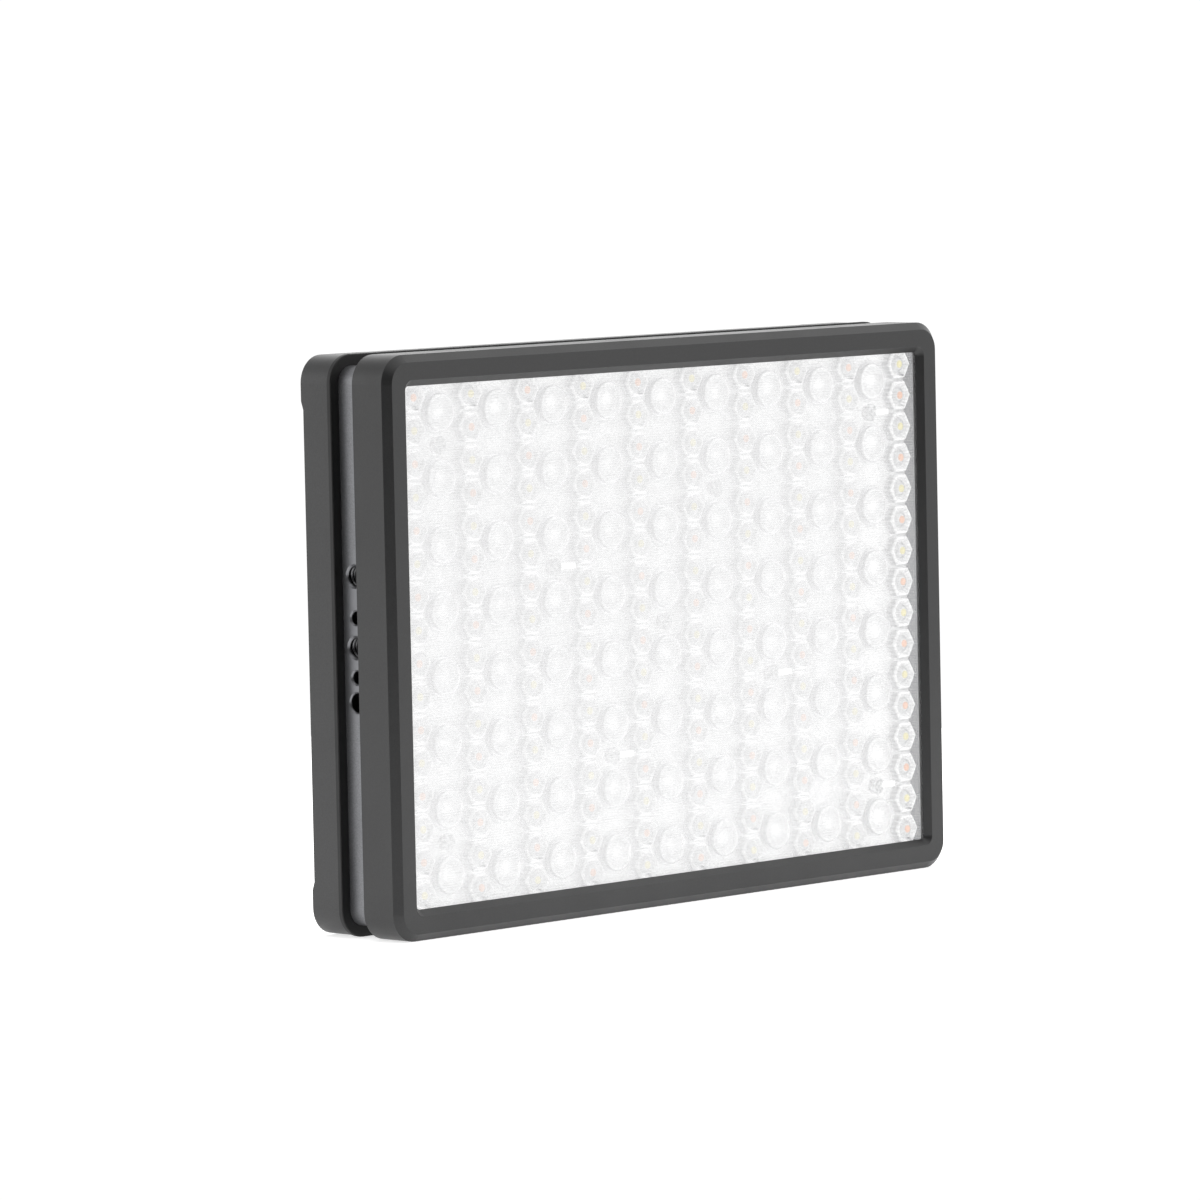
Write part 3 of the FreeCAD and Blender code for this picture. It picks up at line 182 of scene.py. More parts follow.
def make_floor():
    """Pale floor under the object."""
    reach = 0.5
    corners = [(x * reach, y * reach, LOW.z) for x, y in ((-1, -1), (1, -1), (1, 1), (-1, 1))]
    mesh = bpy.data.meshes.new("floor")
    mesh.from_pydata(corners, [], [(0, 1, 2, 3)])
    floor = bpy.data.objects.new("floor", mesh)
    bpy.context.scene.collection.objects.link(floor)
    material, shader = new_material("floor_paper", (0.93, 0.93, 0.93), roughness=0.9)
    shader.inputs["Emission Color"].default_value = (1, 1, 1, 1)
    shader.inputs["Emission Strength"].default_value = 0.68
    grain = noise(material, 0.6, detail=3)
    link(material, bump(material, grain, 0.02), shader, "Normal")
    mesh.materials.append(material)


# ---------------------------------------------------------------- material building blocks


def new_material(name, colour, metallic=0.0, roughness=0.5):
    """Material with one Principled shader, and that shader."""
    material = bpy.data.materials.new(name)
    material.use_nodes = True
    shader = material.node_tree.nodes["Principled BSDF"]
    shader.inputs["Base Color"].default_value = (*colour, 1)
    shader.inputs["Metallic"].default_value = metallic
    shader.inputs["Roughness"].default_value = roughness
    return material, shader


def link(material, output, shader, name):
    """Feed one socket of a shader."""
    material.node_tree.links.new(output, shader.inputs[name])


def place_of(material):
    """The point on the surface, in metres, in the object's own frame."""
    return material.node_tree.nodes.new("ShaderNodeTexCoord").outputs["Object"]


def parts_of_place(material):
    """The same point as outputs named X, Y and Z."""
    parts = material.node_tree.nodes.new("ShaderNodeSeparateXYZ")
    material.node_tree.links.new(place_of(material), parts.inputs[0])
    return parts.outputs


def noise(material, size_mm, detail=2.0, stretch=(1, 1, 1)):
    """Noise whose features are about size_mm across; a stretch under 1 lengthens them along an axis."""
    tree = material.node_tree
    mapping = tree.nodes.new("ShaderNodeMapping")
    mapping.inputs["Scale"].default_value = stretch
    tree.links.new(place_of(material), mapping.inputs["Vector"])
    texture = tree.nodes.new("ShaderNodeTexNoise")
    texture.inputs["Scale"].default_value = 1 / (size_mm * MM)
    texture.inputs["Detail"].default_value = detail
    tree.links.new(mapping.outputs["Vector"], texture.inputs["Vector"])
    return texture.outputs["Fac"]


def cells(material, size_mm, randomness=1.0, metric="EUCLIDEAN"):
    """Distance from the middle of the nearest cell; less randomness lines the cells up in a grid."""
    texture = material.node_tree.nodes.new("ShaderNodeTexVoronoi")
    texture.distance = metric
    texture.inputs["Scale"].default_value = 1 / (size_mm * MM)
    texture.inputs["Randomness"].default_value = randomness
    material.node_tree.links.new(place_of(material), texture.inputs["Vector"])
    return texture.outputs["Distance"]


def level_ribs(material, pitch_mm):
    """Wave from 0 to 1 that makes level lines. The texture has 20 radians in a unit length at scale 1."""
    ribs = material.node_tree.nodes.new("ShaderNodeTexWave")
    ribs.bands_direction = "Z"
    ribs.inputs["Scale"].default_value = 2 * math.pi / (20 * pitch_mm * MM)
    material.node_tree.links.new(place_of(material), ribs.inputs["Vector"])
    return ribs.outputs["Fac"]


def ramp(material, value, low, high, start=0.3, end=0.7):
    """Value from low to high as the input goes from start to end."""
    node = material.node_tree.nodes.new("ShaderNodeMapRange")
    node.inputs["From Min"].default_value = start
    node.inputs["From Max"].default_value = end
    node.inputs["To Min"].default_value = low
    node.inputs["To Max"].default_value = high
    material.node_tree.links.new(value, node.inputs["Value"])
    return node.outputs["Result"]


def blend_colour(material, value, low, high):
    """Colour from low to high as the input goes from 0 to 1; each end is a colour or an output."""
    node = material.node_tree.nodes.new("ShaderNodeMix")
    node.data_type = "RGBA"
    node.clamp_factor = False
    for socket, colour in ((node.inputs[6], low), (node.inputs[7], high)):
        if isinstance(colour, bpy.types.NodeSocket):
            material.node_tree.links.new(colour, socket)
        else:
            socket.default_value = (*colour, 1)
    material.node_tree.links.new(value, node.inputs[0])
    return node.outputs[2]


def combine(material, operation, *values):
    """Math on outputs and numbers."""
    node = material.node_tree.nodes.new("ShaderNodeMath")
    node.operation = operation
    for socket, value in zip(node.inputs, values):
        if isinstance(value, bpy.types.NodeSocket):
            material.node_tree.links.new(value, socket)
        else:
            socket.default_value = value
    return node.outputs["Value"]


def plus(material, a, b):
    return combine(material, "ADD", a, b)


def minus(material, a, b):
    return combine(material, "SUBTRACT", a, b)


def times(material, a, b):
    return combine(material, "MULTIPLY", a, b)


def magnitude(material, a):
    return combine(material, "ABSOLUTE", a)


def fourth_power(material, value, span):
    """Rises from 0 in the middle to 1 at the span, most of it near the end."""
    return combine(material, "POWER", combine(material, "DIVIDE", value, span), 4)


def bump(material, height, depth_mm):
    """Normal from a height between 0 and 1 that stands for depth_mm."""
    node = material.node_tree.nodes.new("ShaderNodeBump")
    node.inputs["Strength"].default_value = 1.0
    node.inputs["Distance"].default_value = depth_mm * MM
    material.node_tree.links.new(height, node.inputs["Height"])
    return node.outputs["Normal"]


def grained(name, colour, lighter, roughness, grain_mm, depth_mm, metallic=0.0, patch_mm=22.0):
    """Surface with a fine grain in colour and height, and a broad drift in gloss."""
    material, shader = new_material(name, colour, metallic, sum(roughness) / 2)
    grain = noise(material, grain_mm, detail=3)
    patches = noise(material, patch_mm, detail=4)
    speck = ramp(material, grain, 0, 1)
    link(material, blend_colour(material, speck, colour, lighter), shader, "Base Color")
    link(material, ramp(material, patches, *roughness), shader, "Roughness")
    link(material, bump(material, grain, depth_mm), shader, "Normal")
    return material, shader


# ---------------------------------------------------------------- plastics, paint and metal


def case_plastic(name, lighter=1.0):
    """Dark grey moulded plastic with a fine spark-eroded grain."""
    deep = [part * lighter for part in (0.0100, 0.0100, 0.0103)]
    pale = [part * lighter for part in (0.0175, 0.0175, 0.018)]
    material, shader = grained(name, deep, pale, (0.36, 0.46), 0.34, 0.012)
    shader.inputs["IOR"].default_value = 1.52
    return material


def bezel_plastic():
    return case_plastic("bezel_plastic")


def cover_plastic():
    return case_plastic("cover_plastic", 1.55)


def black_trim():
    """Satin black paint."""
    material, _ = grained("black_trim", (0.002, 0.002, 0.002), (0.004, 0.004, 0.004), (0.5, 0.62),
                          0.4, 0.006)
    return material


def cast_paint(name):
    """Silver-grey paint over a die casting."""
    return grained(name, (0.17, 0.172, 0.182), (0.24, 0.243, 0.253), (0.34, 0.46), 0.35, 0.01,
                   metallic=0.75)


def cast_frame():
    material, _ = cast_paint("cast_frame")
    return material


def bore_shaded_frame(name, axis, middle, floor):
    """The same casting where it is drilled, with painted shade that darkens it inside the holes.

    Floor is how far the channel's floor lies from the object's middle along the axis.
    """
    material, shader = cast_paint(name)
    away = magnitude(material, minus(material, parts_of_place(material)[axis], middle))
    # Painted shade: the paint fades to near black deeper inside each hole.
    depth = ramp(material, minus(material, floor, away), 0, 1, 0.4 * MM, 1.1 * MM)
    link(material, blend_colour(material, depth, (0.205, 0.207, 0.218), (0.02, 0.02, 0.021)), shader,
         "Base Color")
    return material


def side_bores():
    return bore_shaded_frame("side_bores", "X", MIDDLE.x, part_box("hole_blocks_right")[1].x - MIDDLE.x)


def bottom_bores():
    return bore_shaded_frame("bottom_bores", "Z", MIDDLE.z, MIDDLE.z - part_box("hole_blocks_bottom")[0].z)


def black_foam():
    """Closed-cell foam."""
    material, _ = grained("black_foam", (0.010, 0.010, 0.010), (0.022, 0.022, 0.022), (0.8, 0.95),
                          0.5, 0.08)
    return material


def display_glass():
    """Tinted gloss window, slightly smeared."""
    material, shader = new_material("display_glass", (0.008, 0.009, 0.011), roughness=0.07)
    shader.inputs["Coat Weight"].default_value = 0.6
    shader.inputs["Coat Roughness"].default_value = 0.03
    smear = noise(material, 14, detail=4)
    link(material, ramp(material, smear, 0.04, 0.14), shader, "Roughness")
    return material


def black_plastic():
    """Black moulded plastic of inner housings and battery plates."""
    material, _ = grained("black_plastic", (0.011, 0.011, 0.0115), (0.02, 0.02, 0.02), (0.38, 0.5),
                          0.5, 0.012)
    return material


def knob_plastic():
    """Satin black knob."""
    material, _ = grained("knob_plastic", (0.013, 0.013, 0.0135), (0.024, 0.024, 0.024), (0.3, 0.42),
                          0.25, 0.006)
    return material


def key_rubber():
    """Dark silicone rubber keys."""
    material, shader = grained("key_rubber", (0.016, 0.016, 0.0165), (0.026, 0.026, 0.026), (0.55, 0.68),
                               0.4, 0.012)
    shader.inputs["Sheen Weight"].default_value = 0.2
    return material


def white_print():
    """Off-white filling of marks."""
    material, _ = grained("white_print", (0.62, 0.62, 0.6), (0.74, 0.74, 0.72), (0.5, 0.6), 0.4, 0.01)
    return material


def steel(name, colour, lighter, roughness):
    """Metal with a fine turned and brushed texture."""
    material, _ = grained(name, colour, lighter, roughness, 0.18, 0.004, metallic=1.0, patch_mm=4)
    return material


def dark_steel():
    return steel("dark_steel", (0.09, 0.09, 0.095), (0.16, 0.16, 0.165), (0.28, 0.42))


def thread_metal():
    return steel("thread_metal", (0.10, 0.10, 0.105), (0.2, 0.2, 0.205), (0.3, 0.42))


def spring_steel():
    return steel("spring_steel", (0.55, 0.55, 0.56), (0.7, 0.7, 0.7), (0.18, 0.3))


def gilt_contact():
    return steel("gilt_contact", (0.83, 0.6, 0.22), (0.95, 0.75, 0.36), (0.16, 0.28))


def can_aluminium():
    return steel("can_aluminium", (0.6, 0.6, 0.61), (0.76, 0.76, 0.76), (0.25, 0.4))


def grey_pad():
    """Soft thermal pad."""
    material, _ = grained("grey_pad", (0.26, 0.27, 0.28), (0.36, 0.37, 0.38), (0.7, 0.85), 0.8, 0.03)
    return material


def coil_ferrite():
    """Dark ferrite."""
    material, _ = grained("coil_ferrite", (0.03, 0.028, 0.027), (0.06, 0.056, 0.052), (0.55, 0.75),
                          0.6, 0.03)
    return material


def green_board():
    """Solder mask over copper: lighter where a broad track runs."""
    material, shader = grained("green_board", (0.008, 0.05, 0.022), (0.014, 0.08, 0.035), (0.3, 0.4),
                               0.6, 0.006)
    track = ramp(material, cells(material, 7, metric="CHEBYCHEV"), 0, 1, 0.38, 0.42)
    colour = blend_colour(material, track, (0.007, 0.045, 0.02), (0.02, 0.11, 0.05))
    link(material, colour, shader, "Base Color")
    return material


# ---------------------------------------------------------------- the lit field, painted with glow, highlights and shade


def panel_place(material):
    """How far a point lies to the right of and above the panel's middle, in millimetres."""
    parts = parts_of_place(material)
    x = combine(material, "DIVIDE", parts["X"], MM)
    z = combine(material, "DIVIDE", minus(material, parts["Z"], MIDDLE.z), MM)
    return x, z


def white_board():
    """White solder mask, glossy, with a painted glow that is brightest in the middle of the panel."""
    material, shader = grained("white_board", (0.86, 0.87, 0.88), (0.92, 0.92, 0.92), (0.3, 0.45),
                               1.2, 0.01)
    x, z = panel_place(material)
    half_wide = (HIGH.x - LOW.x) / 2 / MM
    half_tall = (HIGH.z - LOW.z) / 2 / MM
    square = plus(material, fourth_power(material, magnitude(material, x), half_wide),
                  fourth_power(material, magnitude(material, z), half_tall))
    # Painted glow, strongest in the middle and weaker towards the edges.
    shader.inputs["Emission Color"].default_value = (1, 1, 1, 1)
    link(material, ramp(material, square, 0.55, 0.12, 0.0, 1.1), shader, "Emission Strength")
    return material


def glowing_resin(name, colour, deep, glow=0.12):
    """Cast resin, slightly mottled, with a little painted glow."""
    material, shader = grained(name, deep, colour, (0.35, 0.5), 0.5, 0.01)
    # Painted glow in the resin's own colour.
    shader.inputs["Emission Color"].default_value = (*colour, 1)
    shader.inputs["Emission Strength"].default_value = glow
    return material


def cool_phosphor():
    return glowing_resin("cool_phosphor", (0.86, 0.74, 0.16), (0.72, 0.58, 0.08))


def warm_phosphor():
    return glowing_resin("warm_phosphor", (0.88, 0.36, 0.12), (0.74, 0.24, 0.06))


def colour_phosphor():
    return glowing_resin("colour_phosphor", (0.92, 0.92, 0.86), (0.84, 0.84, 0.78))


def tab_white():
    # White bars with a stronger painted glow.
    return glowing_resin("tab_white", (0.95, 0.95, 0.95), (0.88, 0.88, 0.88), glow=0.42)


def from_nearest(material, value, first, pitch):
    """Signed distance to the nearest of the lines at first + n * pitch."""
    return combine(material, "WRAP", minus(material, value, first), pitch / 2, -pitch / 2)


def from_dome(material, x, z):
    """Place off the middle of the nearest dome."""
    return from_nearest(material, x, 0, COLUMN), from_nearest(material, z, ROW, 2 * ROW)


def from_small_lens(material, x, z):
    """Place off the middle of the nearest small lens."""
    return from_nearest(material, x, COLUMN / 2, COLUMN), from_nearest(material, z, ROW / 2, ROW)


def radius_of(material, u, v):
    """Distance from the middle of a lens."""
    squares = plus(material, times(material, u, u), times(material, v, v))
    return combine(material, "SQRT", squares)


def six_sided_radius(material, u, v):
    """Distance from the middle of a six-sided lens, measured square to its sides."""
    u = magnitude(material, u)
    v = magnitude(material, v)
    slanted = plus(material, times(material, u, 0.866), times(material, v, 0.5))
    return combine(material, "MAXIMUM", v, slanted)


def band(material, value, start, end, soft):
    """1 between start and end, falling to 0 over a soft edge."""
    rising = ramp(material, value, 0, 1, start - soft, start + soft)
    falling = ramp(material, value, 1, 0, end - soft, end + soft)
    return times(material, rising, falling)


def clearness(material, x, z):
    """How far the lens details show through the milky glow: least in the middle, most at the right."""
    wide = fourth_power(material, combine(material, "MAXIMUM", x, 0), 116)
    tall = fourth_power(material, magnitude(material, z), 80)
    rim = ramp(material, plus(material, wide, tall), 0.30, 0.44, 0.0, 1.2)
    right = ramp(material, x, 0.0, 0.50, 90, 112)
    top = ramp(material, z, 0.0, 0.12, 62, 76)
    return combine(material, "MINIMUM", plus(material, plus(material, rim, right), top), 1.0)


def broken_lines(material):
    """Painted dark level lines in patches, standing in for the window sheet's ribs bending the shade behind
    it.
    """
    patches = ramp(material, noise(material, 2.6, detail=3, stretch=(0.6, 1, 1)), 0, 0.08, 0.42, 0.60)
    return times(material, level_ribs(material, LINE_PITCH), patches)


def glow_through(material, shader, shade, x, z, tint=(1, 1, 1)):
    """Painted glow, as if the plastic were lit from behind: the painted shade shows as far as the milky glow
    lets it.
    """
    fine = noise(material, 0.5, detail=2, stretch=(0.45, 1, 1))
    shade = plus(material, shade, ramp(material, fine, -0.07, 0.07))
    detail = blend_colour(material, shade, (0.1, 0.1, 0.11), tint)
    # The milky white is the painted glow; the detail carries painted highlights and shade.
    colour = blend_colour(material, clearness(material, x, z), (0.90, 0.90, 0.903), detail)
    link(material, colour, shader, "Emission Color")
    # Painted level lines dim the glow.
    strength = minus(material, ramp(material, fine, 0.86, 0.965), broken_lines(material))
    link(material, strength, shader, "Emission Strength")
    return material


def lens_material(name):
    """Acrylic, dark and opaque here, whose look comes from a painted glow, with a faint ripple, and the place
    on the panel.
    """
    material, shader = new_material(name, (0.03, 0.03, 0.031), roughness=0.2)
    shader.inputs["IOR"].default_value = 1.45
    ripple = noise(material, 1.6, detail=2)
    link(material, bump(material, ripple, 0.03), shader, "Normal")
    return material, shader, *panel_place(material)


def lens_clear():
    """Large dome lens under the painted glow: a painted highlight on its left flank, painted shade on its
    right flank, a painted bright rim and painted shade at its foot.
    """
    material, shader, x, z = lens_material("lens_clear")
    u, v = from_dome(material, x, z)
    radius = radius_of(material, u, v)
    # Painted highlight on the left flank, painted shade on the right flank, painted bright rim, painted shade
    # at the foot.
    flank = radius_of(material, plus(material, u, 2.2), minus(material, v, 0.5))
    painted_highlight = ramp(material, flank, 1.3, 0.87, 0.4, 3.4)
    shade = minus(material, painted_highlight, ramp(material, u, 0, 0.10, 0.8, 3.6))
    shade = plus(material, shade, times(material, band(material, radius, 5.0, 5.6, 0.3), 0.16))
    shade = minus(material, shade, ramp(material, radius, 0, 0.34, 5.7, 6.1))
    return glow_through(material, shader, shade, x, z)


def lens_foot_shade(material, u, v, z):
    """Painted shade in dark dashes below and to the right of a small lens, only near the panel's top and
    bottom.
    """
    foot = radius_of(material, minus(material, u, 1.4), plus(material, v, 3.6))
    near_end = ramp(material, magnitude(material, z), 0, 1, 58, 74)
    # Painted shade at the lens foot, broken into level dashes.
    foot_shadow = times(material, ramp(material, foot, 0.6, 0, 0.3, 1.3), near_end)
    return times(material, foot_shadow, ramp(material, level_ribs(material, LINE_PITCH), 0.3, 1.3, 0, 1))


def six_sided_clear():
    """Small six-sided lens under the painted glow: a painted white outline, paler cup with painted light and
    shade on its radial facets, a painted grey ring round the core, painted shade at its edge.
    """
    material, shader, x, z = lens_material("six_sided_clear")
    u, v = from_small_lens(material, x, z)
    radius = radius_of(material, u, v)
    outline = six_sided_radius(material, u, v)
    # Painted light and shade on the radial facets.
    turn = combine(material, "ARCTAN2", v, u)
    facets = combine(material, "SINE", times(material, turn, 18))
    shade = ramp(material, facets, 0.74, 0.88, -1, 1)
    # Painted grey ring round the core, darker to the right.
    ring = times(material, band(material, radius, 1.7, 2.9, 0.3), ramp(material, u, 0.10, 0.34, -1.5, 1.5))
    shade = minus(material, shade, ring)
    # Painted white outline, then painted shade round it.
    shade = plus(material, shade, times(material, band(material, outline, 3.85, 4.4, 0.22), 0.24))
    shade = minus(material, shade, ramp(material, outline, 0, 0.30, 4.45, 4.75))
    shade = minus(material, shade, lens_foot_shade(material, u, v, z))
    return glow_through(material, shader, shade, x, z)


def plate_clear():
    """The plate between the lenses under the painted glow: soft white pillows of painted light, painted shade
    round the lens feet and towards the right.
    """
    material, shader, x, z = lens_material("plate_clear")
    u, v = from_dome(material, x, z)
    pillow = radius_of(material, u, from_nearest(material, z, 0, 2 * ROW))
    around_dome = radius_of(material, u, v)
    around_small = six_sided_radius(material, *from_small_lens(material, x, z))
    # Painted light in soft pillows between the domes.
    shade = ramp(material, pillow, 1.06, 0.90, 1.5, 7.5)
    # Painted shade round the lens feet and towards the right edge.
    shade = minus(material, shade, ramp(material, around_dome, 0.22, 0, 6.2, 7.4))
    shade = minus(material, shade, ramp(material, around_small, 0.13, 0, 4.7, 6.0))
    shade = minus(material, shade, ramp(material, x, 0, 0.30, 113, 119))
    shade = plus(material, shade, ramp(material, cells(material, 0.8, 0.25), 0.10, 0, 0.15, 0.4))
    return glow_through(material, shader, shade, x, z)


def baffle():
    """Grey-white baffle with a grid of tiny bright dots; the grey is painted shade under the painted glow."""
    material, shader, x, z = lens_material("baffle")
    # Painted shade in grey, with tiny bright dots.
    shade = ramp(material, cells(material, 0.9, 0.3), 0.50, 0.20, 0.1, 0.35)
    return glow_through(material, shader, shade, x, z)


def glow_screw():
    """Screw head behind the milky plate, shown in the painted glow as a pale grey blur with a mottled edge.
    """
    material, shader, x, z = lens_material("glow_screw")
    shade = ramp(material, noise(material, 1.1, detail=4), 0.35, 1.0)
    return glow_through(material, shader, shade, x, z)


def lens_core(name, tint):
    """Painted, glowing picture of one LED as it is magnified in the eye of a small lens."""
    material, shader, x, z = lens_material(name)
    radius = radius_of(material, *from_small_lens(material, x, z))
    return glow_through(material, shader, ramp(material, radius, 1.0, 0.8, 0.4, 1.7), x, z, tint)


def cool_phosphor_core():
    return lens_core("cool_phosphor_core", (0.93, 0.86, 0.50))


def warm_phosphor_core():
    return lens_core("warm_phosphor_core", (0.98, 0.62, 0.46))


def window_clear():
    """Clear sheet with fine level ribs and dots that haze what is behind it."""
    material, shader = new_material("window_clear", (0.95, 0.955, 0.96), roughness=0.3)
    shader.inputs["Alpha"].default_value = 0.09
    dots = noise(material, 0.45, detail=2, stretch=(0.6, 1, 1))
    height = plus(material, level_ribs(material, RIB_PITCH), dots)
    link(material, bump(material, height, 0.05), shader, "Normal")
    tone = ramp(material, height, 0.0, 1.0, 0.3, 1.6)
    link(material, blend_colour(material, tone, (0.86, 0.87, 0.88), (1.0, 1.0, 1.0)), shader, "Base Color")
    return material


# ---------------------------------------------------------------- materials on the CAD nodes


MATERIALS = (
    bezel_plastic, window_clear, black_foam, lens_clear, white_board, cool_phosphor, warm_phosphor,
    colour_phosphor, dark_steel, grey_pad, cast_frame, black_trim, cover_plastic, display_glass,
    black_plastic, spring_steel, knob_plastic, gilt_contact, key_rubber, green_board, coil_ferrite,
    can_aluminium, plate_clear, white_print, six_sided_clear, glow_screw, baffle, tab_white,
    cool_phosphor_core, warm_phosphor_core, thread_metal, side_bores, bottom_bores,
)

# CAD nodes that look unlike the rest of their slot.
OWN_LOOK = {
    "hole_blocks_left": "side_bores", "hole_blocks_right": "side_bores",
    "hole_blocks_bottom": "bottom_bores", "lens_screws": "glow_screw",
}


def dress_nodes(materials):
    """Give each CAD node its own look, or that of its slot in the record."""
    for part in frame["record"]["subparts"]:
        look = OWN_LOOK.get(part["node"], part["material_slot"])
        for slot in frame["nodes"][part["node"]].material_slots:
            slot.material = materials[look]


# ---------------------------------------------------------------- mesh building blocks
# A form is its points, its faces, and for each face whether it is shaded smooth.


def new_piece(name, form, material, body=HOUSING):
    """Mesh piece that rides on a body."""
    points, faces, smooth = form
    mesh = bpy.data.meshes.new(name)
    mesh.from_pydata(points, [], faces)
    mesh.validate()
    mesh.polygons.foreach_set("use_smooth", smooth)
    mesh.materials.append(material)
    piece = bpy.data.objects.new(name, mesh)
    bpy.context.scene.collection.objects.link(piece)
    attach(piece, body)
    return piece


def ring_form(rings, sides, smooth_from):
    """Closed form from stacked rings of (outline, depth); faces from ring smooth_from on are smooth.

    An outline is ("round", radius) or ("six", circumradius).
    """
    points, faces, smooth = [], [], []
    for (kind, radius), depth in rings:
        for k in range(sides):
            angle = 2 * math.pi * k / sides
            away = radius
            if kind == "six":
                turned = (angle % (math.pi / 3)) - math.pi / 6
                away = radius * math.cos(math.pi / 6) / math.cos(turned)
            points.append((away * math.cos(angle), depth, away * math.sin(angle)))
    for ring in range(len(rings) - 1):
        for k in range(sides):
            following = (k + 1) % sides
            start, end = ring * sides, (ring + 1) * sides
            faces.append((start + k, start + following, end + following, end + k))
            smooth.append(ring >= smooth_from)
    faces.append(tuple(range(sides - 1, -1, -1)))
    faces.append(tuple(range((len(rings) - 1) * sides, len(rings) * sides)))
    smooth += [False, True]
    return points, faces, smooth


def block_form(wide, tall, front, back, edge):
    """Block with chamfered front edges."""
    points = []
    for inset, depth in ((0, back), (0, front + edge), (edge, front)):
        a, b = wide / 2 - inset, tall / 2 - inset
        points += [(-a, depth, -b), (a, depth, -b), (a, depth, b), (-a, depth, b)]
    faces = [(3, 2, 1, 0), (8, 9, 10, 11)]
    for ring in (0, 4):
        for k in range(4):
            following = (k + 1) % 4
            faces.append((ring + k, ring + following, ring + 4 + following, ring + 4 + k))
    return points, faces, [False] * len(faces)


def repeated(form, places):
    """Copies of a form in millimetres at each (x, z) off the panel's middle, as one form in metres."""
    template, template_faces, template_smooth = form
    points, faces, smooth = [], [], []
    for x, z in places:
        start = len(points)
        points += [(MIDDLE.x + (x + px) * MM, LOW.y + py * MM, MIDDLE.z + (z + pz) * MM)
                   for px, py, pz in template]
        faces += [tuple(start + k for k in face) for face in template_faces]
        smooth += template_smooth
    return points, faces, smooth


# ---------------------------------------------------------------- the lens field


def small_lens_places(parities=(0, 1)):
    """Places of the small lenses on the squares of a chequerboard with one of the parities."""
    return [((column - 4.5) * COLUMN, (line - 7.5) * ROW) for column in range(10) for line in range(16)
            if (column + line) % 2 in parities]


def dome_places():
    return [((column - 4) * COLUMN, (line - 3.5) * 2 * ROW) for column in range(9) for line in range(8)]


def dome_form():
    """Round wall with a spherical cap."""
    shoulder, cap_radius, steps = 4.9, 5.95, 10
    rise = shoulder - LENS_TOP
    curve = (cap_radius ** 2 + rise ** 2) / (2 * rise)
    rings = [(("round", 6.2), LENS_FOOT), (("round", 6.1), shoulder + 0.25)]
    for k in range(steps):
        angle = math.asin(cap_radius / curve) * (1 - k / steps)
        rings.append((("round", curve * math.sin(angle)), LENS_TOP + curve - curve * math.cos(angle)))
    return ring_form(rings, 32, 0)


def small_lens_form():
    """Six-sided wall with a round rim, and inside it a cup with a raised eye."""
    wall = [(("six", 5.3), LENS_FOOT), (("six", 5.45), 5.2), (("six", 5.0), 4.2)]
    cup = [(("round", 4.2), LENS_TOP), (("round", 3.9), 4.6), (("round", 3.3), 5.4)]
    eye_radius, eye_foot, eye_height = 2.9, 5.3, 1.2
    eye = []
    for k in range(6):
        angle = k * math.pi / 12
        eye.append((("round", eye_radius * math.cos(angle)), eye_foot - eye_height * math.sin(angle)))
    return ring_form(wall + cup + eye, 24, 4)


def make_lens_field(materials):
    """Domes, six-sided lenses and the plate between them, instead of the plain CAD moulding."""
    new_piece("dome_lenses", repeated(dome_form(), dome_places()), materials["lens_clear"])
    new_piece("six_sided_lenses", repeated(small_lens_form(), small_lens_places()),
              materials["six_sided_clear"])
    low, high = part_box("lens_array")
    plate = block_form((high.x - low.x) / MM, (high.z - low.z) / MM, PLATE_FRONT, PLATE_BACK, 0.4)
    piece = new_piece("lens_plate", repeated(plate, [(0, 0)]), materials["plate_clear"])
    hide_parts("lens_array")


def make_leds(materials):
    """White packages with a phosphor pool on each, and a tinted, painted picture of the LED in the eye of the
    lens above it.

    The two tints are chequered.
    """
    front, back = ((corner.y - LOW.y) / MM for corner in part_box("cool_white_leds"))
    package = block_form(3.0, 3.0, front + 0.1, back, 0.2)
    new_piece("white_led_packages", repeated(package, small_lens_places()), materials["white_board"])
    pool = block_form(2.5, 2.5, front, front + 0.3, 0.12)
    core = ring_form([(("round", 0.5), 3.98), (("round", 1.25), 4.02), (("round", 1.25), 4.5)], 16, 3)
    for parity, node, slot in ((0, "cool_white_leds", "cool_phosphor"),
                               (1, "warm_white_leds", "warm_phosphor")):
        places = small_lens_places([parity])
        piece = new_piece(slot + "_pools", repeated(pool, places), materials[slot])
        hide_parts(node)
        new_piece(slot + "_cores", repeated(core, places), materials[slot + "_core"])


def make_side_baffles(materials):
    """Baffles between the lens plate and the bezel, at the window's left and right, that carry painted shade
    under the painted glow.
    """
    strip = block_form(0.8, 163, LENS_TOP - 0.05, 10.8, 0.2)
    places = [(-120.3, 0), (120.3, 0)]
    new_piece("side_baffles", repeated(strip, places), materials["baffle"])


def make_lens_tabs(materials):
    """Short white bars on the lens plate, each a little to the right of a lens screw."""
    tab = block_form(6.5, 1.7, 5.6, 7.5, 0.3)
    places = [(x, rows * ROW) for x, rows in ((-44.5, 2), (56.5, -2), (-19.3, -4), (106.5, 6), (106.5, -6))]
    new_piece("lens_tabs", repeated(tab, places), materials["tab_white"])


# ---------------------------------------------------------------- threads and marks


def edge_of_hole(seat, out):
    """Point on the hole's axis where it meets the channel floor."""
    if abs(out.x) > 0.5:
        return Vector((out.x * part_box("hole_blocks_right")[1].x, seat.y, seat.z))
    return Vector((seat.x, seat.y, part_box("hole_blocks_bottom")[0].z))


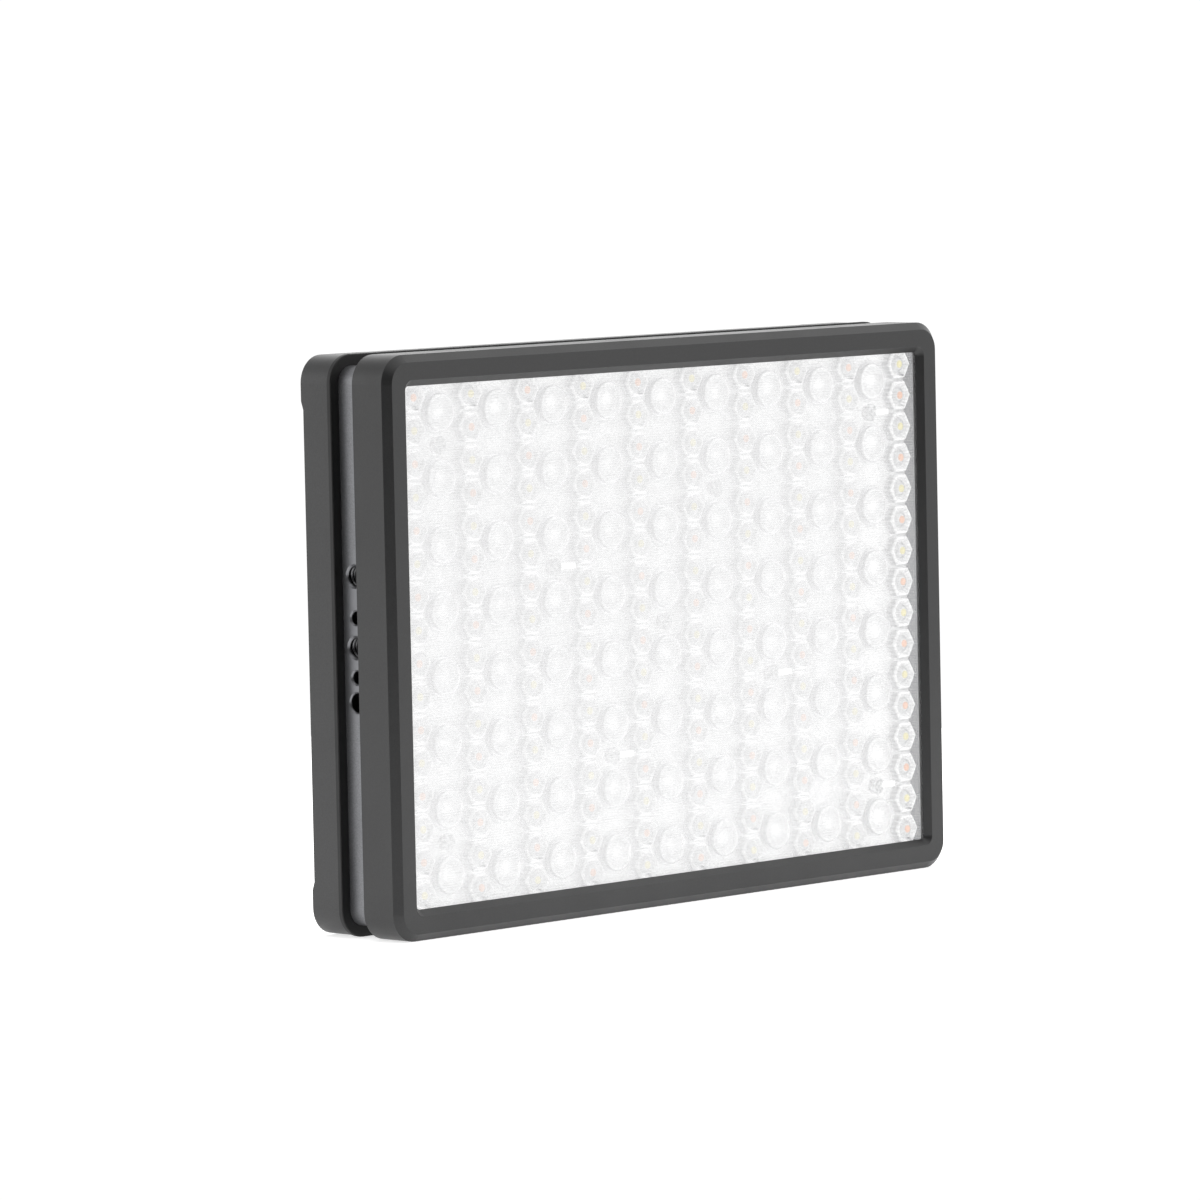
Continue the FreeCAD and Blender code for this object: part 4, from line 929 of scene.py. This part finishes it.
def thread_form(mouth, out, radius, length):
    """Ridge that winds inwards along one bore and tapers off at both ends, in metres."""
    pitch, ridge, first_turn, last_gap = 1.27, 0.5, 0.9, 0.6
    root_half, crest_half = 0.45, 0.08
    sides, taper_steps = 40, 12
    side = Vector((0, 1, 0))
    up = out.cross(side)
    count = int(((length - first_turn) / pitch - last_gap) * sides)
    points, faces = [], []
    for k in range(count + 1):
        angle = 2 * math.pi * k / sides
        outwards = math.cos(angle) * side + math.sin(angle) * up
        crest = radius - ridge * min(1, k / taper_steps, (count - k) / taper_steps)
        profile = ((radius, -root_half), (crest, -crest_half), (crest, crest_half), (radius, root_half))
        for away, shift in profile:
            along = first_turn + pitch * k / sides + shift
            points.append(mouth - out * along * MM + outwards * away * MM)
    for k in range(count):
        for row in range(3):
            one = 4 * k + row
            faces.append((one, one + 1, one + 5, one + 4))
    return points, faces


def make_threads(materials):
    """Screw threads inside the quarter-inch holes."""
    points, faces = [], []
    for mount in frame["record"]["mounts"]:
        if mount["kind"] != "threaded_hole":
            continue
        out = Vector(mount["axis"])
        mouth = edge_of_hole(Vector(mount["pos_m"]), out)
        thread, thread_faces = thread_form(mouth, out, mount["dims"]["r_mm"] + 0.02,
                                           mount["dims"]["length_mm"])
        faces += [tuple(len(points) + k for k in face) for face in thread_faces]
        points += thread
    new_piece("hole_threads", (points, faces, [True] * len(faces)), materials["thread_metal"])


def make_knob_pointers(materials):
    """Raised line on the face of each knob, so that its turn can be seen."""
    sunk, off_centre = 0.15, 5.4
    line, line_faces, smooth = block_form(0.9, 4.6, 0, 0.35, 0.15)
    for side in ("left", "right"):
        low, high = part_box("knob_" + side)
        middle = (low + high) / 2
        points = [(middle.x + x * MM, high.y - (sunk + y) * MM, middle.z + (off_centre + z) * MM)
                  for x, y, z in line]
        faces = [tuple(reversed(face)) for face in line_faces]
        new_piece("knob_pointer_" + side, (points, faces, smooth), materials["white_print"],
                  body=side + "_dial")


make_camera()
make_world()
make_floor()
make_softbox("key_light", Vector((1.3, -1.5, 1.2)))
make_softbox("side_light", Vector((-1.6, 1.2, 0.7)))
materials = {build.__name__: build() for build in MATERIALS}
dress_nodes(materials)
for make in (make_lens_field, make_leds, make_side_baffles, make_lens_tabs, make_threads, make_knob_pointers):
    make(materials)

bpy.context.scene.view_settings.view_transform = "Standard"
